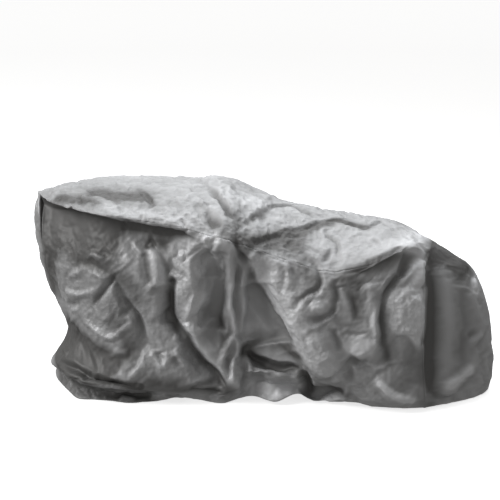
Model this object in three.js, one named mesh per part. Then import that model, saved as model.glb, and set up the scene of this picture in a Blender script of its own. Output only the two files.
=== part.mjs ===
// A fitted cover for a motorcycle, in the shape in which it hangs over one. It is cut as
// three pieces of thin coated cloth: a centre strip that runs from the hem up the left end,
// over the top and down the right end to the hem, and a side panel sewn to each edge of it.
// Each piece is a closed shell, open underneath, with its hem on the floor.
//
// Millimetres. X runs along the length, +Y away from the side that is seen, Z up, and the
// floor is Z = 0. The origin is on the floor in the middle of the cover's length and width.

import * as THREE from "three";

// Cloth and seams
const CLOTH = 2;
const SEAM_GAP = 0.3;

// A side panel hangs through these levels, from its seam to its hem. Between each level and
// the next one the shell has this many rows of faces.
const LEVELS = ["seam", "under", "chest", "belly", "knee", "lip", "fold", "hem"];
const ROWS_BETWEEN = [2, 4, 5, 5, 4, 2, 2];

// The upper levels lie at these parts of the seam's height
const LEVEL_HEIGHT = { under: 0.9, chest: 0.75, belly: 0.5, knee: 0.27 };

// Faces along a side panel, and across the strip
const ALONG = 56;
const ACROSS = 12;

// How far in from each end a side panel is drawn to the end seam, as a share of its length
const END_REACH = 0.16;

// Folds. CREST is the power by which a fold falls from its path to its edge: 1 gives two flat
// slopes, and more makes them hollow. Along its path a fold keeps its rise for most of the
// way, and END_SHARE of it at the two ends; END_POWER says how late it starts to fall.
const CREST = 1.25;
const END_SHARE = 0.25;
const END_POWER = 6;
const PATH_STEPS = 8;
const NEAREST_CORNERS = 4;
const TOP_FROM = 640;

// A short table: each row becomes an object with the named columns
function table(columns, rows) {
  return rows.map((row) => Object.fromEntries(columns.map((name, i) => [name, row[i]])));
}

// Sections over the top, from the left tip to the right corner. "Out" is the distance from
// the middle plane to the seam; the crown is the strip's highest line.
const TOP = table(
  ["x", "nearOut", "nearZ", "crownX", "crownY", "crownZ", "farOut", "farZ"],
  [
    [-1137, 30, 950, -1147, 0, 952, 40, 946],
    [-1080, 105, 944, -1082, 0, 974, 110, 935],
    [-1020, 180, 946, -1020, 10, 988, 190, 925],
    [-920, 262, 945, -920, 20, 1000, 280, 915],
    [-820, 338, 948, -820, 30, 1008, 345, 912],
    [-720, 388, 945, -720, 30, 1013, 385, 912],
    [-620, 402, 935, -620, 40, 1016, 395, 915],
    [-500, 404, 924, -500, 40, 1018, 400, 915],
    [-400, 408, 910, -400, 40, 1020, 405, 910],
    [-300, 418, 890, -300, 40, 1022, 410, 900],
    [-200, 430, 866, -200, 40, 1020, 410, 885],
    [-130, 430, 850, -130, 40, 1006, 405, 868],
    [-60, 405, 822, -60, 40, 972, 385, 845],
    [30, 375, 785, 30, 40, 925, 360, 800],
    [120, 358, 750, 120, 40, 905, 345, 765],
    [200, 350, 725, 200, 45, 895, 335, 745],
    [300, 350, 695, 300, 45, 882, 330, 730],
    [400, 350, 690, 400, 50, 870, 330, 730],
    [500, 350, 722, 500, 50, 852, 330, 740],
    [600, 343, 766, 600, 50, 835, 320, 755],
    [700, 278, 800, 706, 45, 812, 265, 762],
    [760, 200, 794, 780, 40, 782, 200, 752],
    [810, 140, 756, 850, 40, 738, 140, 735],
  ],
);

// The near side panel: the distance out from the middle plane at each level
const SIDE_COLUMNS = ["x", "hemX", "under", "chest", "belly", "knee", "lip", "lipZ", "fold", "foldZ",
  "hem", "hemZ"];
const NEAR = table(SIDE_COLUMNS, [
  [-1137, -1020, 60, 110, 150, 160, 210, 110, 180, 55, 190, 0],
  [-1020, -950, 172, 215, 235, 245, 330, 118, 255, 55, 300, 0],
  [-920, -880, 238, 280, 300, 315, 420, 120, 330, 55, 392, 0],
  [-820, -795, 312, 345, 360, 375, 460, 118, 355, 52, 395, 0],
  [-720, -710, 352, 385, 398, 400, 472, 112, 365, 48, 400, 0],
  [-620, -615, 358, 390, 400, 405, 460, 105, 365, 45, 415, 0],
  [-500, -490, 362, 388, 395, 405, 440, 98, 360, 45, 375, 0],
  [-400, -385, 368, 385, 390, 405, 420, 90, 370, 50, 375, 25],
  [-300, -300, 395, 380, 375, 385, 390, 90, 355, 45, 318, 0],
  [-200, -205, 400, 365, 350, 360, 370, 90, 365, 45, 355, 0],
  [-130, -150, 405, 370, 345, 350, 360, 90, 355, 45, 350, 0],
  [-60, -80, 375, 335, 315, 325, 345, 150, 290, 75, 305, 12],
  [30, 0, 350, 330, 300, 300, 345, 170, 265, 100, 315, 30],
  [120, 110, 350, 345, 320, 305, 350, 160, 260, 90, 335, 8],
  [200, 205, 360, 365, 365, 340, 345, 135, 270, 85, 300, 48],
  [300, 290, 365, 375, 385, 375, 350, 110, 300, 65, 315, 22],
  [400, 395, 368, 378, 385, 380, 350, 100, 325, 50, 300, 12],
  [500, 500, 345, 358, 375, 375, 355, 95, 335, 50, 310, 22],
  [600, 610, 322, 345, 365, 372, 370, 90, 350, 45, 315, 8],
  [700, 715, 268, 305, 335, 355, 362, 90, 345, 45, 315, 6],
  [810, 832, 180, 240, 290, 315, 325, 90, 305, 45, 285, 4],
]);

// The far side panel, which is not seen, hangs more plainly
const FAR = table(SIDE_COLUMNS, [
  [-1137, -1020, 60, 110, 150, 160, 200, 110, 180, 55, 190, 0],
  [-920, -880, 270, 290, 305, 320, 400, 110, 350, 50, 415, 0],
  [-720, -710, 370, 382, 390, 395, 450, 100, 405, 48, 475, 0],
  [-500, -490, 380, 380, 372, 370, 385, 95, 375, 45, 400, 0],
  [-300, -300, 390, 375, 355, 355, 370, 90, 375, 45, 390, 0],
  [-130, -150, 385, 360, 335, 330, 335, 90, 335, 45, 340, 0],
  [30, 0, 345, 330, 315, 320, 340, 90, 350, 45, 365, 0],
  [200, 165, 340, 350, 350, 345, 340, 90, 335, 45, 335, 20],
  [400, 395, 350, 360, 365, 365, 370, 90, 375, 45, 380, 0],
  [600, 610, 335, 345, 350, 345, 345, 90, 345, 45, 350, 0],
  [810, 832, 175, 235, 285, 310, 320, 90, 325, 45, 330, 0],
]);

// The ends of the strip, a row for each level: both seams lie at the same x, and the middle
// of the strip bulges past them
const END_COLUMNS = ["level", "seamX", "nearOut", "nearZ", "farOut", "farZ", "midX", "midY", "midZ"];
const LEFT_END = table(END_COLUMNS, [
  ["seam", -1137, 30, 950, 40, 946, -1147, 0, 952],
  ["under", -1122, 100, 850, 105, 850, -1170, 0, 850],
  ["chest", -1098, 145, 700, 150, 700, -1164, 0, 705],
  ["belly", -1015, 160, 480, 170, 480, -1122, 0, 490],
  ["knee", -958, 165, 270, 175, 270, -1020, 0, 255],
  ["lip", -1025, 205, 110, 210, 110, -1100, 0, 80],
  ["fold", -990, 180, 55, 190, 55, -1085, 0, 40],
  ["hem", -1020, 190, 0, 200, 0, -1085, 0, 0],
]);
const RIGHT_END = table(END_COLUMNS, [
  ["seam", 810, 140, 756, 140, 735, 850, 40, 738],
  ["under", 806, 178, 690, 180, 670, 930, 45, 690],
  ["chest", 806, 225, 595, 228, 590, 1035, 50, 615],
  ["belly", 810, 275, 430, 280, 425, 1110, 50, 450],
  ["knee", 818, 305, 225, 310, 225, 1148, 50, 240],
  ["lip", 828, 318, 95, 320, 95, 1157, 50, 100],
  ["fold", 830, 305, 45, 325, 45, 1150, 50, 45],
  ["hem", 832, 285, 4, 330, 0, 1140, 50, 0],
]);

// Folds that stand up from the draped form (a positive rise) or sink into it (a negative
// one), with the distance over which they fade. A path on a side is given by x and z, and on
// the top by x and y, and lies on the draped form.
const FOLDS = table(["on", "what", "fade", "rise", "path"], [
  ["near", "crease from the belly to the left", 100, -19, [[-690, 650], [-755, 545], [-825, 465]]],
  ["near", "trough down the left half", 110, -31,
    [[-690, 655], [-660, 590], [-595, 475], [-560, 400], [-520, 265]]],
  ["near", "hanging bow", 95, 20, [[-870, 440], [-765, 350], [-715, 330], [-645, 370], [-590, 440]]],
  ["near", "swell at the left", 90, 12, [[-860, 620], [-800, 690], [-740, 740]]],
  ["near", "ruffle above the roll", 80, 18, [[-660, 165], [-510, 210], [-385, 175], [-285, 105]]],
  ["near", "tuck under the shoulder", 75, -36,
    [[-1090, 885], [-1000, 872], [-880, 862], [-720, 858], [-560, 862], [-400, 838]]],
  ["near", "short ridge", 80, 20, [[-500, 790], [-475, 700], [-470, 600]]],
  ["near", "hollow left of the column", 90, -38, [[-400, 740], [-395, 560], [-405, 400]]],
  ["near", "column below the shoulder", 90, 25, [[-315, 790], [-300, 640], [-300, 535], [-345, 430]]],
  ["near", "long slanting trough", 100, -44,
    [[-440, 480], [-390, 400], [-315, 300], [-265, 240], [-205, 175], [-150, 105]]],
  ["near", "long slanting ridge", 85, 27,
    [[-330, 420], [-262, 320], [-205, 235], [-155, 170], [-100, 90]]],
  ["near", "hollow over the foot", 110, -32, [[-940, 360], [-890, 235], [-830, 125]]],
  ["near", "valley under the peak", 120, -45, [[-190, 800], [-195, 560], [-225, 380]]],
  ["near", "rope of cloth from the peak", 75, 18,
    [[-112, 840], [-114, 590], [-104, 435], [-85, 345], [-98, 225], [-85, 50]]],
  ["near", "groove beside the rope", 75, -19, [[-20, 320], [-15, 80]]],
  ["near", "broad valley", 190, -44, [[0, 620], [45, 430], [80, 300]]],
  ["near", "left border of the low end", 120, 46,
    [[-30, 790], [40, 660], [90, 580], [135, 500], [190, 445], [250, 370], [310, 260], [375, 180]]],
  ["near", "flap at the hem", 95, 25, [[60, 130], [145, 5]]],
  ["near", "bubble", 80, 20, [[285, 560], [320, 535], [350, 515]]],
  ["near", "groove round the bubble", 80, -22, [[410, 640], [405, 530], [360, 455], [285, 450]]],
  ["near", "soft ridge", 80, 8, [[480, 700], [490, 560], [480, 430]]],
  ["near", "upright ridge", 80, 21, [[560, 650], [568, 520], [560, 380]]],
  ["near", "deep trough from the corner", 95, -54,
    [[755, 780], [700, 675], [655, 615], [628, 535], [618, 410], [645, 285]]],
  ["near", "low ridge", 80, 17, [[470, 270], [545, 370]]],
  ["near", "low crease", 70, -11, [[525, 255], [590, 220], [660, 225]]],
  ["near", "crushed patch at the corner", 105, 39, [[728, 610], [735, 380]]],
  ["near", "ridge along the hem", 75, 15, [[580, 175], [640, 125], [715, 85], [785, 70]]],
  ["near", "hollow under the low end", 90, -34, [[225, 155], [325, 100], [445, 70]]],
  ["near", "groove past the end seam", 80, -28, [[852, 720], [862, 480], [866, 250]]],
  ["near", "first ridge of the end", 90, 7, [[915, 620], [935, 400], [925, 150]]],
  ["near", "groove of the end", 80, -7, [[995, 560], [1015, 350], [995, 120]]],
  ["near", "last ridge of the end", 80, 7, [[1030, 540], [1085, 400], [1110, 230]]],
  ["top", "dip in the left half", 130, -6, [[-850, -150], [-740, -75], [-605, -160]]],
  ["top", "crease to the shoulder", 70, -8, [[-660, 60], [-585, -115], [-510, -300]]],
  ["top", "low ridge behind", 80, 8, [[-960, 60], [-820, 120], [-640, 140]]],
  ["top", "left ridge to the peak", 70, 14, [[-290, 160], [-215, -5], [-160, -195], [-125, -400]]],
  ["top", "left groove to the peak", 70, -7, [[-335, 40], [-270, -170], [-215, -400]]],
  ["top", "right ridge to the peak", 70, 9, [[45, 210], [5, 120], [-10, -60], [-60, -380]]],
  ["top", "right groove to the peak", 70, -5, [[-130, 180], [-105, -60], [-95, -300]]],
  ["top", "saddle before the low end", 110, -14,
    [[-65, -390], [20, -375], [70, -295], [130, -215], [220, -130], [280, -5], [350, 45]]],
  ["top", "groove along the crown", 70, -11, [[350, 80], [425, 35], [505, -50], [575, 15], [625, 60]]],
  ["top", "bent crease", 66, -6, [[300, 65], [330, -5], [375, -110], [395, -285]]],
  ["top", "short ridge at the corner", 70, 4, [[520, -90], [605, -220]]],
  ["far", "hollow at the tall end", 90, -34, [[-860, 830], [-800, 520], [-820, 240]]],
  ["far", "first ridge", 85, 34, [[-640, 800], [-600, 480], [-640, 180]]],
  ["far", "first groove", 95, -40, [[-430, 850], [-400, 500], [-430, 150]]],
  ["far", "second groove", 75, -30, [[-240, 820], [-225, 500], [-260, 200]]],
  ["far", "ridge from the peak", 80, 34, [[-130, 840], [-120, 500], [-150, 200]]],
  ["far", "valley", 110, -54, [[-50, 720], [-20, 430], [-60, 120]]],
  ["far", "border of the low end", 90, 44, [[90, 710], [160, 430], [230, 160]]],
  ["far", "third groove", 90, -36, [[400, 650], [380, 380], [420, 140]]],
  ["far", "last ridge", 80, 30, [[600, 660], [620, 380], [600, 120]]],
  ["far", "last groove", 70, -24, [[720, 640], [735, 380], [720, 160]]],
  ["far", "ridge of the end", 75, 18, [[960, 560], [985, 350], [960, 120]]],
]);

// The slope of a table's column at a row, from the rows on both sides of it
function slopeAt(rows, key, name, i) {
  const a = rows[Math.max(i - 1, 0)];
  const b = rows[Math.min(i + 1, rows.length - 1)];
  return (b[name] - a[name]) / (b[key] - a[key]);
}

// A column's smooth value between the rows, as a cubic through them
function column(rows, key, name, at) {
  let i = 0;
  while (i < rows.length - 2 && at > rows[i + 1][key]) i += 1;
  const a = rows[i];
  const b = rows[i + 1];
  const span = b[key] - a[key];
  const t = THREE.MathUtils.clamp((at - a[key]) / span, 0, 1);
  const fromSlope = slopeAt(rows, key, name, i) * span;
  const toSlope = slopeAt(rows, key, name, i + 1) * span;
  const t2 = t * t;
  const t3 = t2 * t;
  return a[name] * (2 * t3 - 3 * t2 + 1) + fromSlope * (t3 - 2 * t2 + t)
    + b[name] * (3 * t2 - 2 * t3) + toSlope * (t3 - t2);
}

// Where each row of grid corners lies, counted in levels: 0 at the seam, 7 at the hem
const DOWN = [0, ...ROWS_BETWEEN.flatMap(
  (count, level) => Array.from({ length: count }, (_, k) => level + (k + 1) / count),
)];

// The x of each section of a side panel, at its seam
const SECTION_X = Array.from({ length: ALONG + 1 }, (_, i) => (
  THREE.MathUtils.lerp(TOP[0].x, TOP.at(-1).x, i / ALONG)
));

// The three guide points of the strip over the top, at a seam position x
function topGuides(x) {
  const value = (name) => column(TOP, "x", name, x);
  return {
    near: new THREE.Vector3(x, -value("nearOut"), value("nearZ")),
    mid: new THREE.Vector3(value("crownX"), value("crownY"), value("crownZ")),
    far: new THREE.Vector3(x, value("farOut"), value("farZ")),
  };
}

// The three guide points of an end of the strip, at a level
function endGuides(end, level) {
  const rows = end.map((row, i) => ({ ...row, at: i }));
  const value = (name) => column(rows, "at", name, level);
  return {
    near: new THREE.Vector3(value("seamX"), -value("nearOut"), value("nearZ")),
    mid: new THREE.Vector3(value("midX"), value("midY"), value("midZ")),
    far: new THREE.Vector3(value("seamX"), value("farOut"), value("farZ")),
  };
}

// A point across the strip: a parabola from the near seam over the middle to the far seam
function stripPoint({ near, mid, far }, share) {
  const chord = near.clone().lerp(far, share);
  const middle = near.clone().lerp(far, 0.5);
  const bulge = mid.clone().sub(middle).multiplyScalar(1 - (2 * share - 1) ** 2);
  return chord.add(bulge);
}

// One section of a side panel below a seam point, as a table over the levels
function section(rows, seam) {
  const value = (name) => column(rows, "x", name, seam.x);
  return LEVELS.map((level, i) => {
    const x = THREE.MathUtils.lerp(seam.x, value("hemX"), i / (LEVELS.length - 1));
    if (level === "seam") return { at: i, x, out: Math.abs(seam.y), z: seam.z };
    const z = level in LEVEL_HEIGHT ? seam.z * LEVEL_HEIGHT[level] : value(`${level}Z`);
    return { at: i, x, out: value(level), z };
  });
}

// A point of a section, on the side of the middle plane that "side" gives as -1 or +1
function sectionPoint(rows, level, side) {
  return new THREE.Vector3(
    column(rows, "at", "x", level),
    side * column(rows, "at", "out", level),
    column(rows, "at", "z", level),
  );
}

// All corners of the cover's outer surface, shared where pieces meet at a seam
const corners = [];
function addCorner(point) {
  corners.push(point);
  return corners.length - 1;
}

// How strongly a section is drawn to an end seam, from its share of the length away from it
function endPull(share) {
  return Math.max(0, 1 - share / END_REACH) ** 2;
}

// The grid of a side panel, as rows of corner numbers. Its first and last sections are drawn
// to the seams that run down the two ends.
function sideGrid(rows, seamName, side) {
  const sections = SECTION_X.map((x) => section(rows, topGuides(x)[seamName]));
  const toSeam = (end, from, level) => (
    endGuides(end, level)[seamName].sub(sectionPoint(from, level, side))
  );
  return sections.map((here, i) => DOWN.map((level) => {
    const point = sectionPoint(here, level, side);
    point.addScaledVector(toSeam(LEFT_END, sections[0], level), endPull(i / ALONG));
    point.addScaledVector(toSeam(RIGHT_END, sections[ALONG], level), endPull(1 - i / ALONG));
    return addCorner(point);
  }));
}

// The corners of a side panel's seam: up its left edge, along its top, down its right edge
function seamCorners(grid) {
  return [
    ...grid[0].slice(1).reverse(),
    ...grid.map((row) => row[0]),
    ...grid.at(-1).slice(1),
  ];
}

// The grid of the strip between the two side panels
function stripGrid(nearGrid, farGrid) {
  const nearSeam = seamCorners(nearGrid);
  const farSeam = seamCorners(farGrid);
  const below = DOWN.slice(1);
  const guides = [
    ...below.toReversed().map((level) => endGuides(LEFT_END, level)),
    ...SECTION_X.map(topGuides),
    ...below.map((level) => endGuides(RIGHT_END, level)),
  ];
  return guides.map((guide, i) => {
    const between = Array.from({ length: ACROSS - 1 }, (_, k) => (
      addCorner(stripPoint(guide, (k + 1) / ACROSS))
    ));
    return [nearSeam[i], ...between, farSeam[i]];
  });
}

// The triangles of a grid, facing the other way where "flip" is set
function gridFaces(grid, flip) {
  const faces = [];
  for (let i = 0; i + 1 < grid.length; i += 1) {
    for (let j = 0; j + 1 < grid[i].length; j += 1) {
      const a = grid[i][j];
      const b = grid[i + 1][j];
      const c = grid[i + 1][j + 1];
      const d = grid[i][j + 1];
      if ((i + j) % 2) faces.push([a, b, c], [a, c, d]);
      else faces.push([a, b, d], [b, c, d]);
    }
  }
  return flip ? faces.map(([a, b, c]) => [a, c, b]) : faces;
}

// The three pieces. "inside" gives the next corner away from the seams, for a corner that
// lies on one, and the corner itself for any other.
const nearPanel = sideGrid(NEAR, "near", -1);
const farPanel = sideGrid(FAR, "far", 1);
const insidePanel = (i, j) => [THREE.MathUtils.clamp(i, 1, ALONG - 1), Math.max(j, 1)];
const insideStrip = (i, k) => [i, THREE.MathUtils.clamp(k, 1, ACROSS - 1)];
const PIECES = [
  { name: "side_panel_near", grid: nearPanel, flip: true, inside: insidePanel },
  { name: "side_panel_far", grid: farPanel, flip: false, inside: insidePanel },
  { name: "centre_strip", grid: stripGrid(nearPanel, farPanel), flip: false, inside: insideStrip },
];

// The outward direction at every corner, averaged over the faces that meet there
function outwardDirections() {
  const directions = corners.map(() => new THREE.Vector3());
  const ab = new THREE.Vector3();
  const ac = new THREE.Vector3();
  PIECES.flatMap(({ grid, flip }) => gridFaces(grid, flip)).forEach((face) => {
    ab.subVectors(corners[face[1]], corners[face[0]]);
    ac.subVectors(corners[face[2]], corners[face[0]]);
    ab.cross(ac);
    face.forEach((corner) => directions[corner].add(ab));
  });
  return directions.map((direction) => direction.normalize());
}

// For each face of the cover: which corners a fold's path may lie on, the two sizes that the
// path is given by, and the point that they give with the third size from the draped form
const ON = {
  near: {
    holds: (corner) => corner.y < 0,
    view: (corner) => [corner.x, corner.z],
    point: ([x, z], form) => new THREE.Vector3(x, form.y, z),
  },
  far: {
    holds: (corner) => corner.y > 0,
    view: (corner) => [corner.x, corner.z],
    point: ([x, z], form) => new THREE.Vector3(x, form.y, z),
  },
  top: {
    holds: (corner) => corner.z > TOP_FROM,
    view: (corner) => [corner.x, corner.y],
    point: ([x, y], form) => new THREE.Vector3(x, y, form.z),
  },
};

// A point of a fold's path on the draped form, from the nearest corners, the nearer the more
function onForm(face, place) {
  const ranked = corners.filter(face.holds).map((corner) => {
    const [a, b] = face.view(corner);
    return { corner, weight: 1 / (Math.hypot(a - place[0], b - place[1]) + 1) };
  });
  const nearest = ranked.sort((a, b) => b.weight - a.weight).slice(0, NEAREST_CORNERS);
  const form = new THREE.Vector3();
  nearest.forEach(({ corner, weight }) => form.addScaledVector(corner, weight));
  form.divideScalar(nearest.reduce((sum, { weight }) => sum + weight, 0));
  return face.point(place, form);
}

// How far each corner moves along its outward direction for one fold: its rise on the path,
// falling to nothing at the fade's distance from it
function foldLift({ on, fade, rise, path }) {
  const curve = new THREE.CatmullRomCurve3(path.map((place) => onForm(ON[on], place)));
  const steps = PATH_STEPS * path.length;
  const points = curve.getPoints(steps);
  return corners.map((corner) => {
    const gaps = points.map((point) => point.distanceTo(corner));
    const nearest = Math.min(...gaps);
    if (nearest > fade) return 0;
    const along = 2 * (gaps.indexOf(nearest) / steps) - 1;
    const ends = END_SHARE + (1 - END_SHARE) * (1 - Math.abs(along) ** END_POWER);
    return rise * ends * (1 - nearest / fade) ** CREST;
  });
}

// Move every corner by all the folds, along the draped form's outward directions
function pressFolds() {
  const outward = outwardDirections();
  const lifts = FOLDS.map(foldLift);
  corners.forEach((corner, i) => {
    const lift = lifts.reduce((sum, one) => sum + one[i], 0);
    corner.addScaledVector(outward[i], lift);
    corner.z = Math.max(corner.z, 0);
  });
}

pressFolds();
const outward = outwardDirections();

// A corner as a piece has it: on a seam it is drawn in by half the gap between the pieces
function pieceCorner(grid, inside, i, j) {
  const corner = corners[grid[i][j]];
  const [inI, inJ] = inside(i, j);
  const point = corner.clone();
  if (inI === i && inJ === j) return point;
  return point.add(corners[grid[inI][inJ]].clone().sub(corner).setLength(SEAM_GAP / 2));
}

// The numbers of a grid's corners round its edge
function rimOf(numbered) {
  return [
    ...numbered[0].slice(0, -1),
    ...numbered.map((row) => row.at(-1)).slice(0, -1),
    ...numbered.at(-1).slice(1).reverse(),
    ...numbered.map((row) => row[0]).slice(1).reverse(),
  ];
}

// A piece as a closed shell: its outer surface, an inner one a cloth thickness behind it, and
// walls between them round the edge
function shell({ grid, flip, inside }) {
  const outer = grid.flatMap((row, i) => row.map((_, j) => pieceCorner(grid, inside, i, j)));
  const inner = grid.flat().map((corner, n) => {
    const point = outer[n].clone().addScaledVector(outward[corner], -CLOTH);
    point.z = Math.max(point.z, 0);
    return point;
  });
  const behind = outer.length;
  const numbered = grid.map((row, i) => row.map((_, j) => i * row.length + j));
  const front = gridFaces(numbered, flip);
  const back = front.map(([a, b, c]) => [a + behind, c + behind, b + behind]);
  const rim = rimOf(numbered);
  const walls = rim.flatMap((a, i) => {
    const b = rim[(i + 1) % rim.length];
    const pair = [[a, b + behind, b], [a, a + behind, b + behind]];
    return flip ? pair : pair.map(([p, q, r]) => [p, r, q]);
  });
  const geometry = new THREE.BufferGeometry();
  const places = [...outer, ...inner].flatMap((point) => point.toArray());
  geometry.setAttribute("position", new THREE.Float32BufferAttribute(places, 3));
  geometry.setIndex([...front, ...back, ...walls].flat());
  geometry.computeVertexNormals();
  return geometry;
}

// Each piece is a mesh of its own, in its own copy of the silver-grey coated cloth
const cover = new THREE.Group();
cover.name = "motorcycle_cover";
PIECES.forEach((piece) => {
  const cloth = new THREE.MeshStandardMaterial({ color: 0x9a9aa0, roughness: 0.45, metalness: 0.4 });
  cloth.name = "coated_cloth";
  const mesh = new THREE.Mesh(shell(piece), cloth);
  mesh.name = piece.name;
  cover.add(mesh);
});

export default cover;
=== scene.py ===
# %% [markdown]
# A fitted motorcycle cover of thin, silver-grey coated cloth, draped as it hangs in use, and
# empty. Three cut pieces are sewn together: a centre strip from hem to hem over the top,
# and a panel on each side. This lesson loads the solids as the frame, works the same draped
# form out again at a fine step, crumples it, and gives it the look of the coated cloth.

# %% Frame
import bpy
import numpy as np
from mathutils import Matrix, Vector


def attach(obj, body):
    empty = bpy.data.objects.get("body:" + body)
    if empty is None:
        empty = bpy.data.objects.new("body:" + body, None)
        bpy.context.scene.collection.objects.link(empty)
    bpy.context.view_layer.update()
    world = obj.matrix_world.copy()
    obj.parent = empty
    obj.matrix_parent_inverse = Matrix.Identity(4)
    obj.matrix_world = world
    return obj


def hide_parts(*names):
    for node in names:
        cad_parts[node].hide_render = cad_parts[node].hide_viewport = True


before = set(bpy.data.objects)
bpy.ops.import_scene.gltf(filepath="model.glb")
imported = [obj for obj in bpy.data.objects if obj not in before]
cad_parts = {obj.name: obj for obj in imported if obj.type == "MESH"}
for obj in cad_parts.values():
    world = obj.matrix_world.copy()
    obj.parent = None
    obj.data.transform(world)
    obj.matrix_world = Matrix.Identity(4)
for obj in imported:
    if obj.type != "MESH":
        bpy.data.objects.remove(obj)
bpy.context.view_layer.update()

# %% [markdown]
# The camera comes first. The photograph looks along the length from a little to the right
# and from a little above, from far enough away that lines hardly converge. The view is given
# by its two angles, the point it is aimed at, its distance and how wide the picture is there.

# %% Camera
VIEW_AZIMUTH = np.radians(8.0)
VIEW_ELEVATION = np.radians(16.0)
VIEW_AIM = np.array([-0.071, 0.0, 0.690])
VIEW_DISTANCE = 8.0
VIEW_WIDTH = 2.5126
SENSOR = 36.0
CLIP_END = 60.0


def add_object(name, data):
    """A new object with this camera, mesh or light, put into the scene."""
    made = bpy.data.objects.new(name, data)
    bpy.context.scene.collection.objects.link(made)
    return made


def aim_camera():
    """Places the camera on the line from the aim point, back along the viewing direction."""
    back = np.array([
        np.sin(VIEW_AZIMUTH) * np.cos(VIEW_ELEVATION),
        -np.cos(VIEW_AZIMUTH) * np.cos(VIEW_ELEVATION),
        np.sin(VIEW_ELEVATION),
    ])
    data = bpy.data.cameras.new("camera")
    data.sensor_fit = "HORIZONTAL"
    data.sensor_width = SENSOR
    data.lens = SENSOR * VIEW_DISTANCE / VIEW_WIDTH
    data.clip_end = CLIP_END
    camera = add_object("camera", data)
    camera.location = Vector(VIEW_AIM + back * VIEW_DISTANCE)
    camera.rotation_euler = Vector(back).to_track_quat("Z", "Y").to_euler()
    bpy.context.scene.camera = camera
    return camera


camera = aim_camera()
print("camera at", [round(c, 3) for c in camera.location])

# %% [markdown]
# The draped form is a set of cross-sections. Each table names its columns, has a row for each
# section, and is read at any place in between by a smooth cubic. Tables are in millimetres,
# as a pattern cutter would note them, and the surface is turned into metres at the end.

# %% Tables of the draped form
MM = 0.001


class Table:
    """Rows of numbers with named columns, read smoothly between the rows of a key column."""

    def __init__(self, columns, rows, key=None):
        self.rows = np.array(rows, float)
        self.columns = columns.split()
        self.key = self.column(key) if key else np.arange(len(rows), dtype=float)

    def column(self, name):
        """All the values of one column."""
        return self.rows[:, self.columns.index(name)]

    def at(self, name, place):
        """A column's value at a place: a cubic through the rows, its slopes from their neighbours."""
        values = self.column(name)
        last = len(values) - 1
        before = np.clip(np.arange(last + 1) - 1, 0, last)
        after = np.clip(np.arange(last + 1) + 1, 0, last)
        slope = (values[after] - values[before]) / (self.key[after] - self.key[before])
        i = np.clip(np.searchsorted(self.key, place, side="right") - 1, 0, last - 1)
        span = self.key[i + 1] - self.key[i]
        t = np.clip((place - self.key[i]) / span, 0, 1)
        rise = values[i] * (2 * t**3 - 3 * t**2 + 1) + values[i + 1] * (3 * t**2 - 2 * t**3)
        return rise + span * (slope[i] * (t**3 - 2 * t**2 + t) + slope[i + 1] * (t**3 - t**2))


TOP = Table("x nearOut nearZ crownX crownY crownZ farOut farZ", [
    [-1137, 30, 950, -1147, 0, 952, 40, 946],
    [-1080, 105, 944, -1082, 0, 974, 110, 935],
    [-1020, 180, 946, -1020, 10, 988, 190, 925],
    [-920, 262, 945, -920, 20, 1000, 280, 915],
    [-820, 338, 948, -820, 30, 1008, 345, 912],
    [-720, 388, 945, -720, 30, 1013, 385, 912],
    [-620, 402, 935, -620, 40, 1016, 395, 915],
    [-500, 404, 924, -500, 40, 1018, 400, 915],
    [-400, 408, 910, -400, 40, 1020, 405, 910],
    [-300, 418, 890, -300, 40, 1022, 410, 900],
    [-200, 430, 866, -200, 40, 1020, 410, 885],
    [-130, 430, 850, -130, 40, 1006, 405, 868],
    [-60, 405, 822, -60, 40, 972, 385, 845],
    [30, 375, 785, 30, 40, 925, 360, 800],
    [120, 358, 750, 120, 40, 905, 345, 765],
    [200, 350, 725, 200, 45, 895, 335, 745],
    [300, 350, 695, 300, 45, 882, 330, 730],
    [400, 350, 690, 400, 50, 870, 330, 730],
    [500, 350, 722, 500, 50, 852, 330, 740],
    [600, 343, 766, 600, 50, 835, 320, 755],
    [700, 278, 800, 706, 45, 812, 265, 762],
    [760, 200, 794, 780, 40, 782, 200, 752],
    [810, 140, 756, 850, 40, 738, 140, 735],
], key="x")

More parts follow.
